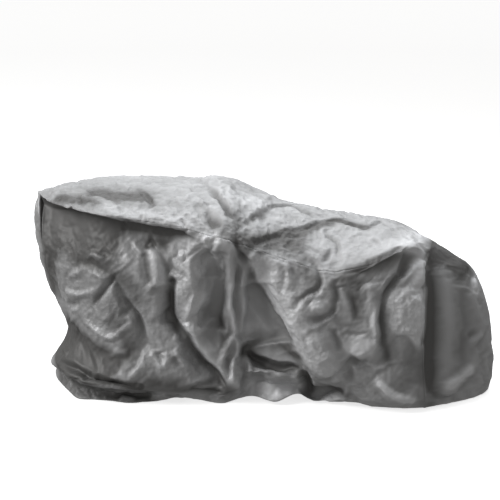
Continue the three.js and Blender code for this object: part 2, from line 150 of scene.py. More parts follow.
SIDE_COLUMNS = "x hemX under chest belly knee lip lipZ fold foldZ hem hemZ"
NEAR = Table(SIDE_COLUMNS, [
    [-1137, -1020, 60, 110, 150, 160, 210, 110, 180, 55, 190, 0],
    [-1020, -950, 172, 215, 235, 245, 330, 118, 255, 55, 300, 0],
    [-920, -880, 238, 280, 300, 315, 420, 120, 330, 55, 392, 0],
    [-820, -795, 312, 345, 360, 375, 460, 118, 355, 52, 395, 0],
    [-720, -710, 352, 385, 398, 400, 472, 112, 365, 48, 400, 0],
    [-620, -615, 358, 390, 400, 405, 460, 105, 365, 45, 415, 0],
    [-500, -490, 362, 388, 395, 405, 440, 98, 360, 45, 375, 0],
    [-400, -385, 368, 385, 390, 405, 420, 90, 370, 50, 375, 25],
    [-300, -300, 395, 380, 375, 385, 390, 90, 355, 45, 318, 0],
    [-200, -205, 400, 365, 350, 360, 370, 90, 365, 45, 355, 0],
    [-130, -150, 405, 370, 345, 350, 360, 90, 355, 45, 350, 0],
    [-60, -80, 375, 335, 315, 325, 345, 150, 290, 75, 305, 12],
    [30, 0, 350, 330, 300, 300, 345, 170, 265, 100, 315, 30],
    [120, 110, 350, 345, 320, 305, 350, 160, 260, 90, 335, 8],
    [200, 205, 360, 365, 365, 340, 345, 135, 270, 85, 300, 48],
    [300, 290, 365, 375, 385, 375, 350, 110, 300, 65, 315, 22],
    [400, 395, 368, 378, 385, 380, 350, 100, 325, 50, 300, 12],
    [500, 500, 345, 358, 375, 375, 355, 95, 335, 50, 310, 22],
    [600, 610, 322, 345, 365, 372, 370, 90, 350, 45, 315, 8],
    [700, 715, 268, 305, 335, 355, 362, 90, 345, 45, 315, 6],
    [810, 832, 180, 240, 290, 315, 325, 90, 305, 45, 285, 4],
], key="x")
FAR = Table(SIDE_COLUMNS, [
    [-1137, -1020, 60, 110, 150, 160, 200, 110, 180, 55, 190, 0],
    [-920, -880, 270, 290, 305, 320, 400, 110, 350, 50, 415, 0],
    [-720, -710, 370, 382, 390, 395, 450, 100, 405, 48, 475, 0],
    [-500, -490, 380, 380, 372, 370, 385, 95, 375, 45, 400, 0],
    [-300, -300, 390, 375, 355, 355, 370, 90, 375, 45, 390, 0],
    [-130, -150, 385, 360, 335, 330, 335, 90, 335, 45, 340, 0],
    [30, 0, 345, 330, 315, 320, 340, 90, 350, 45, 365, 0],
    [200, 165, 340, 350, 350, 345, 340, 90, 335, 45, 335, 20],
    [400, 395, 350, 360, 365, 365, 370, 90, 375, 45, 380, 0],
    [600, 610, 335, 345, 350, 345, 345, 90, 345, 45, 350, 0],
    [810, 832, 175, 235, 285, 310, 320, 90, 325, 45, 330, 0],
], key="x")

END_COLUMNS = "seamX nearOut nearZ farOut farZ midX midY midZ"
LEFT_END = Table(END_COLUMNS, [
    [-1137, 30, 950, 40, 946, -1147, 0, 952],
    [-1122, 100, 850, 105, 850, -1170, 0, 850],
    [-1098, 145, 700, 150, 700, -1164, 0, 705],
    [-1015, 160, 480, 170, 480, -1122, 0, 490],
    [-958, 165, 270, 175, 270, -1020, 0, 255],
    [-1025, 205, 110, 210, 110, -1100, 0, 80],
    [-990, 180, 55, 190, 55, -1085, 0, 40],
    [-1020, 190, 0, 200, 0, -1085, 0, 0],
])
RIGHT_END = Table(END_COLUMNS, [
    [810, 140, 756, 140, 735, 850, 40, 738],
    [806, 178, 690, 180, 670, 930, 45, 690],
    [806, 225, 595, 228, 590, 1035, 50, 615],
    [810, 275, 430, 280, 425, 1110, 50, 450],
    [818, 305, 225, 310, 225, 1148, 50, 240],
    [828, 318, 95, 320, 95, 1157, 50, 100],
    [830, 305, 45, 325, 45, 1150, 50, 45],
    [832, 285, 4, 330, 0, 1140, 50, 0],
])
print("sections over the top", len(TOP.rows), "and down the sides", len(NEAR.rows), len(FAR.rows))

# %% [markdown]
# A side panel is a grid: one way along the cover, the other way down from the shoulder seam
# through eight named levels to the hem. The strip is a grid of parabolas from seam to seam.
# All three share their corners along the seams, so what moves one moves the other.

# %% Grids of the draped form
LEVELS = ["seam", "under", "chest", "belly", "knee", "lip", "fold", "hem"]
LEVEL_HEIGHT = {"under": 0.9, "chest": 0.75, "belly": 0.5, "knee": 0.27}
ROWS_BETWEEN = [12, 20, 30, 30, 20, 12, 12]
ALONG = 276
ACROSS = 76
END_REACH = 0.16

# the rows of a side panel, counted in levels: 0 at the seam, 7 at the hem
down = [level + np.arange(1, rows + 1) / rows for level, rows in enumerate(ROWS_BETWEEN)]
down = np.concatenate([[0.0]] + down)
section_x = np.linspace(TOP.key[0], TOP.key[-1], ALONG + 1)


def top_guides(x):
    """Near seam, crown and far seam of the strip over the top, each an array of points."""
    near = np.stack([x, -TOP.at("nearOut", x), TOP.at("nearZ", x)], -1)
    mid = np.stack([TOP.at("crown" + axis, x) for axis in "XYZ"], -1)
    far = np.stack([x, TOP.at("farOut", x), TOP.at("farZ", x)], -1)
    return near, mid, far


def end_guides(end, level):
    """The same three guide points where the strip runs down an end, at each level."""
    x = end.at("seamX", level)
    near = np.stack([x, -end.at("nearOut", level), end.at("nearZ", level)], -1)
    mid = np.stack([end.at("mid" + axis, level) for axis in "XYZ"], -1)
    far = np.stack([x, end.at("farOut", level), end.at("farZ", level)], -1)
    return near, mid, far


def side_sections(table, seam):
    """A side panel's grid from its table: at each section, a cubic through the eight levels."""
    x = seam[:, 0]
    hem_x = table.at("hemX", x)
    guide = []
    for i, level in enumerate(LEVELS):
        level_x = x + (hem_x - x) * i / (len(LEVELS) - 1)
        if level == "seam":
            out, z = np.abs(seam[:, 1]), seam[:, 2]
        else:
            out = table.at(level, x)
            z = seam[:, 2] * LEVEL_HEIGHT[level] if level in LEVEL_HEIGHT else table.at(level + "Z", x)
        guide.append(np.stack([level_x, np.sign(seam[:, 1]) * out, z], -1))
    guide = np.array(guide)
    steps = Table("row", np.arange(len(LEVELS))[:, None])
    flat = guide.reshape(len(LEVELS), -1)
    rows = []
    for column in range(flat.shape[1]):
        steps.rows = flat[:, column:column + 1]
        rows.append(steps.at("row", down))
    return np.array(rows).reshape(len(x), 3, len(down)).transpose(0, 2, 1)


def end_pull(share):
    """How strongly a section is drawn to an end seam: 1 at the end, 0 past END_REACH."""
    return np.maximum(0, 1 - share / END_REACH)[:, None, None] ** 2


def side_grid(table, which):
    """A side panel whose first and last sections are drawn to the seams down the two ends."""
    grid = side_sections(table, top_guides(section_x)[which])
    share = np.linspace(0, 1, ALONG + 1)
    left = end_guides(LEFT_END, down)[which] - grid[0]
    right = end_guides(RIGHT_END, down)[which] - grid[-1]
    return grid + end_pull(share) * left + end_pull(1 - share) * right


def strip_grid():
    """The strip: parabolas over the middle, up the left end, along the top, down the right end."""
    below = down[1:]
    left, right = end_guides(LEFT_END, below[::-1]), end_guides(RIGHT_END, below)
    guides = zip(left, top_guides(section_x), right)
    near, mid, far = (np.concatenate(guide)[:, None] for guide in guides)
    share = np.linspace(0, 1, ACROSS + 1)[None, :, None]
    return near + (far - near) * share + (mid - (near + far) / 2) * (1 - (2 * share - 1) ** 2)


def number_grids(near, far, strip):
    """One list of corners, and for each grid the numbers of its corners; seams are shared."""
    near_ids = np.arange(near.shape[0] * near.shape[1]).reshape(near.shape[:2])
    far_ids = near_ids + near_ids.size
    strip_ids = np.empty(strip.shape[:2], int)
    strip_ids[:, 0] = np.concatenate([near_ids[0, :0:-1], near_ids[:, 0], near_ids[-1, 1:]])
    strip_ids[:, -1] = np.concatenate([far_ids[0, :0:-1], far_ids[:, 0], far_ids[-1, 1:]])
    inner = strip[:, 1:-1]
    inner_ids = np.arange(inner.shape[0] * inner.shape[1]).reshape(inner.shape[:2])
    strip_ids[:, 1:-1] = inner_ids + 2 * near_ids.size
    points = np.concatenate([near.reshape(-1, 3), far.reshape(-1, 3), inner.reshape(-1, 3)])
    return points * MM, {"near": near_ids, "far": far_ids, "strip": strip_ids}


points, ids = number_grids(side_grid(NEAR, 0), side_grid(FAR, 2), strip_grid())
print("corners", len(points), "box", points.min(0).round(3), points.max(0).round(3))


# %% Outward directions
def quads(grid):
    """The four corner numbers of every face of a grid."""
    return np.stack([grid[:-1, :-1], grid[1:, :-1], grid[1:, 1:], grid[:-1, 1:]], -1).reshape(-1, 4)


faces = {"near": quads(ids["near"])[:, ::-1], "far": quads(ids["far"]), "strip": quads(ids["strip"])}
all_faces = np.concatenate(list(faces.values()))


def outward(points):
    """Unit directions at the corners: the sum of the face diagonals' cross products round each."""
    a, b, c, d = (points[all_faces[:, k]] for k in range(4))
    normal = np.cross(c - a, d - b)
    total = np.zeros_like(points)
    for k in range(4):
        np.add.at(total, all_faces[:, k], normal)
    return total / (np.linalg.norm(total, axis=1, keepdims=True) + 1e-12)


normals = outward(points)
crown = ids["strip"][len(ids["strip"]) // 2, ACROSS // 2]
print("the crown faces", normals[crown].round(2))

# %% [markdown]
# A sewn edge is no knife edge. Over the peak and the low end the cloth runs over the shoulder
# in a soft round, while at the tall end and at the corner the seam stands crisp. A ring of
# corners runs round each cross-section from hem to hem, and those near a seam are drawn again
# and again towards the middle of their two neighbours.

# %% Rounded shoulder
SHOULDER_SHARE = [(-1100, 0.1), (-900, 0.25), (-350, 0.35), (-150, 1),
                  (550, 1), (720, 0.8), (800, 0.25), (1150, 0.1)]
FAR_SHARE = 0.5
SHOULDER_CELLS = 4.0
SHOULDER_ROUNDS = 24
ROUND_STEP = 0.8


def ring_grid():
    """Corner numbers round each cross-section over the top, from the near hem to the far hem."""
    start = len(down) - 1
    top = ids["strip"][start:start + ALONG + 1, 1:-1]
    return np.concatenate([ids["near"][:, ::-1], top, ids["far"]], axis=1)


def soften_shoulder(points):
    """Corners move towards the middle of their neighbours, by a share that is a bell at a seam."""
    ring = ring_grid()
    place = np.arange(ring.shape[1])
    near_bell = np.exp(-((place - len(down) + 1) / SHOULDER_CELLS) ** 2)
    far_bell = np.exp(-((place - ring.shape[1] + len(down)) / SHOULDER_CELLS) ** 2)
    near_share = np.interp(points[ids["near"][:, 0], 0] / MM, *zip(*SHOULDER_SHARE))
    share = np.clip(near_share[:, None] * near_bell + FAR_SHARE * far_bell, 0, 1)[..., None]
    section = points[ring]
    for _ in range(SHOULDER_ROUNDS):
        middle = section.copy()
        middle[:, 1:-1] = (section[:, :-2] + section[:, 2:]) / 2
        section += ROUND_STEP * share * (middle - section)
    points = points.copy()
    points[ring] = section
    return points


points = soften_shoulder(points)
normals = outward(points)
print("shoulder rounded over", 2 * int(SHOULDER_CELLS), "cells")

# %% [markdown]
# Crumpled film is never regular. Two random fields do all the work: a smooth one that bends
# paths and facets, and one of scattered cells whose borders are as sharp as creases. Both
# read a lattice of seeded random numbers, so every run gives the same cloth.

# %% Random fields
LATTICE = 24
SEED_SHIFT = 0.37
FAR_OFF = 9.0


def smoothstep(t):
    """From 0 to 1, level at both ends."""
    return t * t * (3 - 2 * t)


def smooth_field(points, size, seed):
    """From -1 to 1: random numbers on a lattice of this size, blended by smoothsteps."""
    values = np.random.default_rng(seed).uniform(-1, 1, (LATTICE,) * 3)
    place = points / size + SEED_SHIFT * seed
    cell = np.floor(place).astype(int)
    part = smoothstep(place - cell)
    total = np.zeros(len(points))
    for step in np.ndindex(2, 2, 2):
        weight = np.prod(np.where(step, part, 1 - part), axis=1)
        i, j, k = ((cell + step) % LATTICE).T
        total += weight * values[i, j, k]
    return total


def cell_field(points, size, seed):
    """Squared distance to the nearest of the centres scattered one to a lattice cell, in cells."""
    centres = np.random.default_rng(seed).uniform(0, 1, (LATTICE,) * 3 + (3,))
    place = points / size + SEED_SHIFT * seed
    cell = np.floor(place).astype(int)
    nearest = np.full(len(points), FAR_OFF)
    for step in np.ndindex(3, 3, 3):
        near = cell + np.array(step) - 1
        i, j, k = (near % LATTICE).T
        nearest = np.minimum(nearest, ((near + centres[i, j, k] - place) ** 2).sum(1))
    return nearest


GRAIN = np.array([0.45, 0.0, -0.89])
DRAWN_OUT = 1.9
FACET_BEND = {"size": 1.3, "reach": 0.35}


def facets(points, size, seed):
    """Flat facets between sharp creases, drawn out along the grain: one cell field less another."""
    points = points - (points @ GRAIN)[:, None] * GRAIN * (1 - 1 / DRAWN_OUT)
    wide = size * FACET_BEND["size"]
    bend = np.stack([smooth_field(points, wide, seed + k) for k in range(3)], -1)
    bend = bend * size * FACET_BEND["reach"]
    return cell_field(points + bend, size, seed + 3) - cell_field(points - bend, size, seed + 4)


def crumpled(points, sizes):
    """A sum of facets; each row of sizes has the size, the seed and the rise of one of them."""
    return sum(rise * facets(points, size, seed) for size, seed, rise in sizes)


print("a field's spread:", round(float(smooth_field(points, 0.1, 1).std()), 3))

# %% [markdown]
# The folds are placed in millimetres. Each is a path, seen from the side or from the
# top, that a ridge or a trough follows. The broad ones are those of the solids. A crease is
# narrower, and its two flanks differ: the left and the right reach are given as somebody sees
# them who walks along the path on the outside of the cloth.
#
# The tables are text. A line "seen from" says how the rows below it are seen. A row has a name,
# its numbers, and after the bar the points of its path. For a fold the numbers are its rise and
# its reach, which may be given for the left and the right.


# %% Reading a table
def read_table(text):
    """Rows of seen from, name, numbers and path; an indented line goes on with the row above."""
    rows = []
    for line in text.strip().replace("\n  ", " ").splitlines():
        name, colon, rest = line.partition(":")
        if not colon:
            seen_from = name.split()[-1]
            continue
        numbers, path = rest.split("|")
        points = np.array([point.split() for point in path.split(",")], float)
        rows.append((seen_from, name, [float(n) for n in numbers.split()], points))
    return rows


print(read_table("seen from top\nan example: 5 60 | 0 0, 100 50")[0][:3])

# %% Broad folds
BROAD_FOLDS = read_table("""
seen from near
crease from the belly to the left: -11 100 | -690 650, -755 545, -825 465
trough down the left half: -22 110 | -690 655, -660 590, -595 475, -560 400, -520 265
hanging bow: 4 95 | -870 440, -765 350, -715 330, -645 370, -590 440
swell at the left: 4 90 | -860 620, -800 690, -740 740
ruffle above the roll: 13 80 | -660 165, -510 210, -385 175, -285 105
tuck under the shoulder: -4 75 | -620 845, -525 805, -430 800
short ridge: 12 80 | -500 790, -475 700, -470 600
hollow left of the column: -27 90 | -400 740, -395 560, -405 400
column below the shoulder: 25 90 | -315 790, -300 640, -300 535, -345 430
long slanting trough: -44 100 | -440 480, -390 400, -315 300, -265 240, -205 175, -150 105
long slanting ridge: 27 85 | -330 420, -262 320, -205 235, -155 170, -100 90
hollow over the foot: -23 110 | -940 360, -890 235, -830 125
valley under the peak: -45 120 | -190 800, -195 560, -225 380
rope of cloth from the peak: 10 75 | -112 840, -114 590, -104 435, -85 345, -98 225, -85 50
groove beside the rope: -19 75 | -20 320, -15 80
broad valley: -44 190 | 0 620, 45 430, 80 300
left border of the low end: 46 120 | -30 790, 40 660, 90 580, 135 500, 190 445, 250 370, 310 260,
  375 180
flap at the hem: 25 95 | 60 130, 145 5
bubble: 10 80 | 285 560, 320 535, 350 515
groove round the bubble: -16 80 | 410 640, 405 530, 360 455, 285 450
soft ridge: 8 80 | 480 700, 490 560, 480 430
upright ridge: 21 80 | 560 650, 568 520, 560 380
deep trough from the corner: -16 70 | 775 750, 695 665, 640 595, 615 505, 625 370, 655 250
low ridge: 21 80 | 510 270, 585 370
low crease: -11 70 | 525 255, 590 220, 660 225
crushed patch at the corner: 24 105 | 728 610, 735 380
ridge along the hem: 15 75 | 580 175, 640 125, 715 85, 785 70
hollow under the low end: -34 90 | 225 155, 325 100, 445 70
groove past the end seam: -14 80 | 852 720, 862 480, 866 250
first ridge of the end: 7 90 | 915 620, 935 400, 925 150
groove of the end: -7 80 | 995 560, 1015 350, 995 120
last ridge of the end: 7 80 | 1030 540, 1085 400, 1110 230
seen from top
dip in the left half: -6 130 | -850 -150, -740 -75, -605 -160
crease to the shoulder: -8 70 | -660 60, -585 -115, -510 -300
low ridge behind: 8 80 | -960 60, -820 120, -640 140
left ridge to the peak: 14 70 | -290 160, -215 -5, -160 -195, -125 -400
left groove to the peak: -7 70 | -335 40, -270 -170, -215 -400
right ridge to the peak: 9 70 | 45 210, 5 120, -10 -60, -60 -380
right groove to the peak: -5 70 | -130 180, -105 -60, -95 -300
saddle before the low end: -14 110 | -65 -390, 20 -375, 70 -295, 130 -215, 220 -130, 280 -5, 350 45
groove along the crown: -11 70 | 350 80, 425 35, 505 -50, 575 15, 625 60
bent crease: -6 66 | 300 65, 330 -5, 375 -110, 395 -285
short ridge at the corner: 4 70 | 520 -90, 605 -220
seen from far
hollow at the tall end: -34 90 | -860 830, -800 520, -820 240
first ridge: 34 85 | -640 800, -600 480, -640 180
first groove: -40 95 | -430 850, -400 500, -430 150
second groove: -30 75 | -240 820, -225 500, -260 200
ridge from the peak: 34 80 | -130 840, -120 500, -150 200
valley: -54 110 | -50 720, -20 430, -60 120
border of the low end: 44 90 | 90 710, 160 430, 230 160
third groove: -36 90 | 400 650, 380 380, 420 140
last ridge: 30 80 | 600 660, 620 380, 600 120
last groove: -24 70 | 720 640, 735 380, 720 160
ridge of the end: 18 75 | 960 560, 985 350, 960 120
""")
print("broad folds", len(BROAD_FOLDS))

# %% Creases
CREASES = read_table("""
seen from top
notch a: -14 17 | -905 -165, -870 -260
notch b: -14 17 | -670 -280, -635 -375
crease a: -14 17 | -895 -75, -845 -145, -785 -205
dip: -7 50 40 | -800 -170, -690 -215, -595 -185
crease b: -12 15 24 | -620 -75, -565 -160, -520 -230, -500 -275
near roll: -11 17 | -590 -370, -510 -370, -450 -380, -390 -395
ray a: -18 17 30 | -260 -45, -210 -135, -170 -190, -140 -240, -120 -290
ray b: -18 17 26 | -270 -210, -240 -270, -220 -315, -195 -350, -175 -375
ray c: -11 17 | -310 -225, -275 -285, -245 -335
ray d: -8 17 | -195 -15, -170 -150, -140 -230
ray e: 11 17 | -315 -155, -265 -220, -225 -265
ray f: -11 17 | -355 -345, -320 -385
ray g: 11 17 | -240 -420, -185 -385, -140 -375
ray h: -11 17 | -60 -190, -30 -270, -50 -340
ray i: -11 17 | -25 -150, -20 -235
arch: -12 17 20 | -35 -235, -15 -180, 10 -125, 30 -65, 60 10, 125 65, 165 45, 195 15, 225 15
arch branch: -11 17 | 15 -180, 25 -110
saddle: -16 18 22 | -65 -380, -15 -340, 20 -310, 55 -260, 90 -230, 125 -195
saddle b: -14 18 20 | 120 -185, 175 -150, 220 -120, 255 -80, 295 -35, 360 -15, 410 -30, 460 -40, 515 -65
saddle c: -11 17 | 515 -45, 550 5, 595 75
dark patch: -14 17 | 135 -200, 180 -190, 215 -170
streak: -12 17 | 135 -285, 160 -255, 180 -225
S crease: -14 17 | 320 -95, 330 -145, 360 -165, 380 -190, 390 -240, 400 -280
hook: -12 17 | 360 -225, 350 -270, 325 -290
line a: -7 17 | 250 -95, 270 -225
line b: -7 17 | 280 -85, 295 -225
small a: -9 17 | 445 -155, 495 -125, 550 -145
small b: -8 17 | 555 -170, 595 -240
seen from near
left edge light: 10 24 | -1080 675, -1060 600, -1020 535
streaks: 12 24 | -845 705, -805 735, -770 730, -740 715
streak dark: -10 24 | -765 760, -730 745, -715 725
broad dark: -14 60 30 | -900 680, -805 680, -730 665, -670 630
light line a: 10 24 | -805 650, -760 635, -735 605
light patch a: 10 24 | -950 595, -865 635
blob: 10 30 40 | -630 745, -600 700
blob streak: 12 24 | -600 810, -565 775, -540 750
dark c: -12 20 34 | -535 780, -525 720, -515 655, -495 605
dark spot: -6 20 24 | -570 820, -525 805, -455 805
facet d: 6 20 24 | -490 765, -475 705, -465 645
facet d tail: 12 24 | -465 645, -495 605, -520 570
dark e: -12 20 34 | -435 720, -425 675, -440 625
left crease: -20 26 | -685 640, -725 590, -765 530, -805 475
facet f: 13 24 | -970 515, -880 515, -795 555
patch g: 12 24 | -940 425, -885 435
dark g: -12 24 | -955 450, -870 470
facet h: 6 24 | -710 595, -685 540
rise i: 5 24 | -790 445, -740 430, -690 465
bow: 10 22 24 | -865 405, -815 375, -755 350, -715 335, -665 360, -625 390, -580 425
left trough: -24 22 40 | -675 605, -655 565, -635 525, -610 485, -575 445, -555 400, -540 350, -520 290
dark j: -10 24 | -660 465, -610 450
foot dark: -26 30 85 | -920 325, -875 280, -845 240, -805 195, -785 155
foot light: 12 24 | -1020 175, -960 185
black line: -56 30 26 | -1015 125, -935 150, -855 155, -795 140, -740 130, -690 120, -635 110, -560 100
roll light: 14 26 30 | -1030 25, -885 140
roll strip: 14 22 26 | -830 30, -715 40, -615 50, -515 50
roll dark: -12 24 | -705 25, -630 30, -510 25
roll strip b: 12 24 | -675 15, -590 20
ruffle border: 12 24 34 | -620 145, -580 165, -550 195, -535 240, -525 275
low smooth: 10 24 | -695 265, -615 260
ruffle a: 13 24 | -505 270, -475 230, -455 170
ruffle b: 13 24 | -440 275, -430 230, -445 190
ruffle c: 16 24 | -395 285, -360 240, -315 185
ruffle dark a: -12 24 | -465 275, -450 230
ruffle dark b: -12 24 | -390 250, -355 200
blob k: 13 24 | -400 350, -360 335
slant trough: -36 26 60 | -435 495, -405 430, -365 390, -320 340, -300 300, -270 255, -240 215,
  -205 180, -170 135, -135 110
slant ridge: 26 60 24 | -340 455, -315 380, -275 320, -235 265, -200 210, -165 170, -130 120, -110 60
column edge: 18 60 20 | -360 640, -365 585, -370 525, -360 470
column streak a: 13 24 | -275 595, -300 510, -335 445
column streak b: 14 22 26 | -235 660, -240 595, -250 535, -280 485, -320 445
spur: 12 24 | -200 430, -235 395, -275 360
dark facet: -28 18 75 | -400 615, -400 535, -395 460, -380 400
ridge A: 14 17 | -115 615, -115 505, -105 430, -95 345
ridge A upper: 10 24 | -110 815, -115 725, -115 615
spur left: 16 24 | -100 360, -125 315, -150 265, -170 205
spur right: 16 24 | -95 345, -85 290, -85 240
ridge B: 19 18 | -35 760, -45 665, -55 570, -55 500, -60 435, -70 345
groove AB: -18 17 | -75 735, -80 635, -90 530, -85 415
lens left: 16 24 | -90 260, -110 200, -100 120, -90 40
lens dark: -16 24 | -55 260, -45 180, -50 65
lens right: 13 24 | -40 280, -30 190, -40 60
under fork: -16 24 | -125 265, -135 200, -120 145
hem streak a: 12 24 | -370 105, -285 125, -195 140
hem dark a: -18 24 | -330 80, -265 65, -170 65
hem streak b: 10 24 | -305 95, -225 95, -150 95
hem light c: 10 24 | -175 105, -150 75, -125 30
hem light d: 10 24 | -525 30, -465 35, -435 50
valley edge: 20 70 26 | -140 855, -175 800, -185 735, -200 660, -210 585, -230 515, -250 470
valley: -30 55 90 | -145 760, -155 640, -170 535, -185 440, -200 355, -190 275
knot: 5 22 | -250 850, -210 815
knot b: 5 22 | -155 850, -185 805, -205 750
curl: 12 24 | -280 740, -265 695, -255 670, -235 700, -215 760
light m: 10 24 | -415 815, -400 780, -395 745
patch n: 13 24 | -375 755, -330 755
triangle: 16 24 | -425 650, -395 660, -350 640
triangle dark: -13 24 | -430 630, -365 620
streak p: 12 24 | -405 735, -370 705, -345 670
edge black: -23 24 | -100 850, -80 820, -60 775, -30 735
edge bright: 13 24 | -20 785, 15 745
lobe valley: -36 60 80 | -20 680, 10 585, 55 505, 105 425, 150 350, 180 285
lobe edge: -16 26 30 | 21 735, 36 665, 61 610, 91 570, 136 525, 171 475, 196 435
lobe edge low: -12 26 30 | 250 415, 265 365, 285 315, 310 285, 345 255, 385 220
lobe knot: 6 20 | 175 450, 210 445, 240 460
lobe knot b: 6 20 | 175 405, 215 400
lobe groove: -10 20 | 60 705, 65 640, 105 605, 150 570, 175 525
lobe streak: 8 20 24 | 75 715, 100 650, 130 595, 155 555
lobe dark: -9 20 24 | 140 720, 150 650, 155 580
block: 9 24 26 | 190 600, 195 525
lobe streak b: 6 20 | 155 740, 175 675, 180 620
lobe streak c: -6 20 | 175 715, 205 670, 225 615
curl line: -15 22 | 235 740, 275 730, 295 710, 315 675, 315 635, 290 605, 255 580, 225 540, 220 485
bubble: 14 40 | 285 525, 350 530
bubble arc: -16 18 24 | 270 475, 325 475, 365 495, 385 525, 395 575
bubble ring: 13 24 | 235 525, 255 570, 290 585
branch: 13 24 | 315 265, 350 300, 380 315
dark q: -16 24 | 380 425, 400 375, 415 315
patch r: 8 95 14 | 470 305, 510 300, 550 315
patch r dark: -20 22 26 | 460 275, 510 260, 560 265
patch r top: -7 16 | 445 400, 500 400, 545 410
black fold: -42 28 30 | -65 275, -25 240, 10 215, 65 195, 115 185, 170 190, 220 185
black fold b: -48 45 30 | 220 185, 235 145, 250 65, 305 40, 375 45, 450 60
flap top: 14 26 40 | 50 130, 120 155, 170 155
flap: 16 30 | 5 90, 100 50
brown: -18 26 40 | 455 280, 470 215, 485 140
streak s: 9 24 | 380 140, 410 180
corner trough: -12 28 38 | 775 750, 730 700, 695 665, 665 635, 640 595, 625 555, 615 505, 615 445,
  625 370, 650 300, 655 250
grey ridge: 14 26 40 | 725 780, 695 735, 665 695, 625 645, 595 595
bright ridge: 24 22 24 | 602 565, 592 495, 587 445, 592 395, 597 340
shoulder dark: -16 26 40 | 440 690, 500 715, 565 750, 630 775, 690 795, 740 785
fold t: 10 24 | 425 625, 440 570, 465 510
fold u: -10 24 | 470 615, 485 540, 500 460
fold v: 5 20 | 525 560, 525 610, 560 635, 590 640
fold w: -10 24 | 395 670, 400 615, 410 545
triangle edge: 24 26 60 | 795 720, 795 660, 800 595
triangle left: 16 24 | 765 705, 735 665, 705 635
corner patch: 18 26 70 | 780 575, 790 500, 800 430, 800 355
corner patch b: 7 24 | 690 580, 705 510, 700 440
patch lines: -3 17 | 655 455, 705 455
patch dots: -3 17 | 710 560, 745 575, 785 550
spike: 16 24 | 745 410, 775 360, 800 320
end dark: -13 120 40 | 835 755, 845 630, 850 495, 850 325, 852 180, 852 60
end light: 3 60 | 895 690, 905 530, 905 390
end dark b: -10 24 | 1005 640, 1035 610, 1030 550
end notch: 13 24 | 1055 585, 1060 525
end crease: 12 24 | 1040 290, 1070 310, 1100 325
end crease dark: -10 24 | 1040 325, 1070 350
end patch: 12 40 50 | 935 90, 980 115, 1025 150, 1065 175
low ridge: 18 26 40 | 600 170, 645 125, 690 95, 765 75
low line: 10 24 | 510 260, 560 235, 620 230, 660 230
low dark: -13 24 | 480 265, 530 235, 590 215
low dark b: -12 24 | 860 75, 930 45, 995 40
lobe crest: 44 110 90 | 100 745, 115 675, 140 620, 170 580, 215 535, 250 485, 275 445, 305 430,
  320 380, 340 330, 365 300, 400 270, 440 235
seen from top
first ray to the peak: -9 12 17 | -380 -305, -255 -370, -150 -405
second ray to the peak: -8 12 17 | -350 -240, -245 -340, -140 -400
third ray to the peak: -10 12 17 | -285 -160, -215 -280, -135 -390
fourth ray to the peak: -9 12 17 | -260 -60, -165 -225, -120 -355
fifth ray to the peak: -7 12 17 | -300 -240, -260 -210, -205 -205
ray across the saddle: -8 12 17 | -90 -340, -45 -235, 10 -80
seen from near
ray under the peak: -8 12 17 | -160 860, -250 810, -345 725
steep ray under the peak: -8 12 17 | -155 850, -215 780, -270 690
""")
print("creases", len(CREASES))


# %% Pressing the folds
# bend: how far the wander moves a path. blunt: how round its crest is. ends: the share of the
# rise left at the two ends. hold: how long the rise stays full. flank: how hollow a flank is.
BROAD = {"bend": 0.005, "blunt": 0.008, "ends": 0.25, "hold": 6, "flank": 1.25}
NARROW = {"bend": 0.006, "blunt": 0.002, "ends": 0.05, "hold": 3, "flank": 1}
WANDER = [(0.11, 50, 1), (0.04, 60, 0.5)]  # size, seed, share
PATH_STEPS = 8
TOP_ABOVE = 0.64
CORNERS_READ = 4


def smooth_path(path):
    """A Catmull-Rom curve through the points of a path."""
    p = np.concatenate([[2 * path[0] - path[1]], path, [2 * path[-1] - path[-2]]])
    t = np.linspace(0, 1, PATH_STEPS, endpoint=False)[:, None]
    pieces = []
    for a, b, c, d in zip(p[:-3], p[1:-2], p[2:-1], p[3:]):
        square = (2 * a - 5 * b + 4 * c - d) * t**2
        pieces.append(0.5 * (2 * b + (c - a) * t + square + (3 * b - a - 3 * c + d) * t**3))
    return np.concatenate(pieces + [p[-2:-1]])


def lay_on_form(points, seen_from, path):
    """A path seen from a side or the top gets its third coordinate from the nearest corners."""
    seen = [0, 1] if seen_from == "top" else [0, 2]
    third = 3 - sum(seen)
    y, z = points[:, 1], points[:, 2]
    held = points[{"near": y < 0, "far": y > 0, "top": z > TOP_ABOVE}[seen_from]]
    laid = np.empty((len(path), 3))
    laid[:, seen] = path * MM
    for row in laid:
        gap = np.hypot(*(held[:, seen] - row[seen]).T)
        nearest = np.argpartition(gap, CORNERS_READ)[:CORNERS_READ]
        weight = 1 / (gap[nearest] + MM)
        row[third] = (held[nearest, third] * weight).sum() / weight.sum()
    return laid


def path_gap(points, laid):
    """Distance to a path and the share along it, by projecting on its straight pieces."""
    nearest = np.full(len(points), FAR_OFF)
    along = np.zeros(len(points))
    count = len(laid) - 1
    for i, (a, b) in enumerate(zip(laid[:-1], laid[1:])):
        line = b - a
        t = np.clip((points - a) @ line / (line @ line), 0, 1)
        gap = np.linalg.norm(points - a - t[:, None] * line, axis=1)
        closer = gap < nearest
        nearest[closer] = gap[closer]
        along[closer] = (i + t[closer]) / count
    return nearest, along


def full_then_less(along, ends, power):
    """A fold keeps its rise for most of its path, and a share of it at the two ends."""
    return ends + (1 - ends) * (1 - np.abs(2 * along - 1) ** power)


def close_to(points, laid, reach):
    """Numbers of the corners in the box round a path, wider by the reach."""
    return np.flatnonzero(((points > laid.min(0) - reach) & (points < laid.max(0) + reach)).all(1))


def wandering(points):
    """Three smooth fields, at two sizes each, that bend the straight pieces of the paths."""
    def field(k):
        return sum(share * smooth_field(points, size, seed + k) for size, seed, share in WANDER)
    return np.stack([field(k) for k in range(3)], -1)


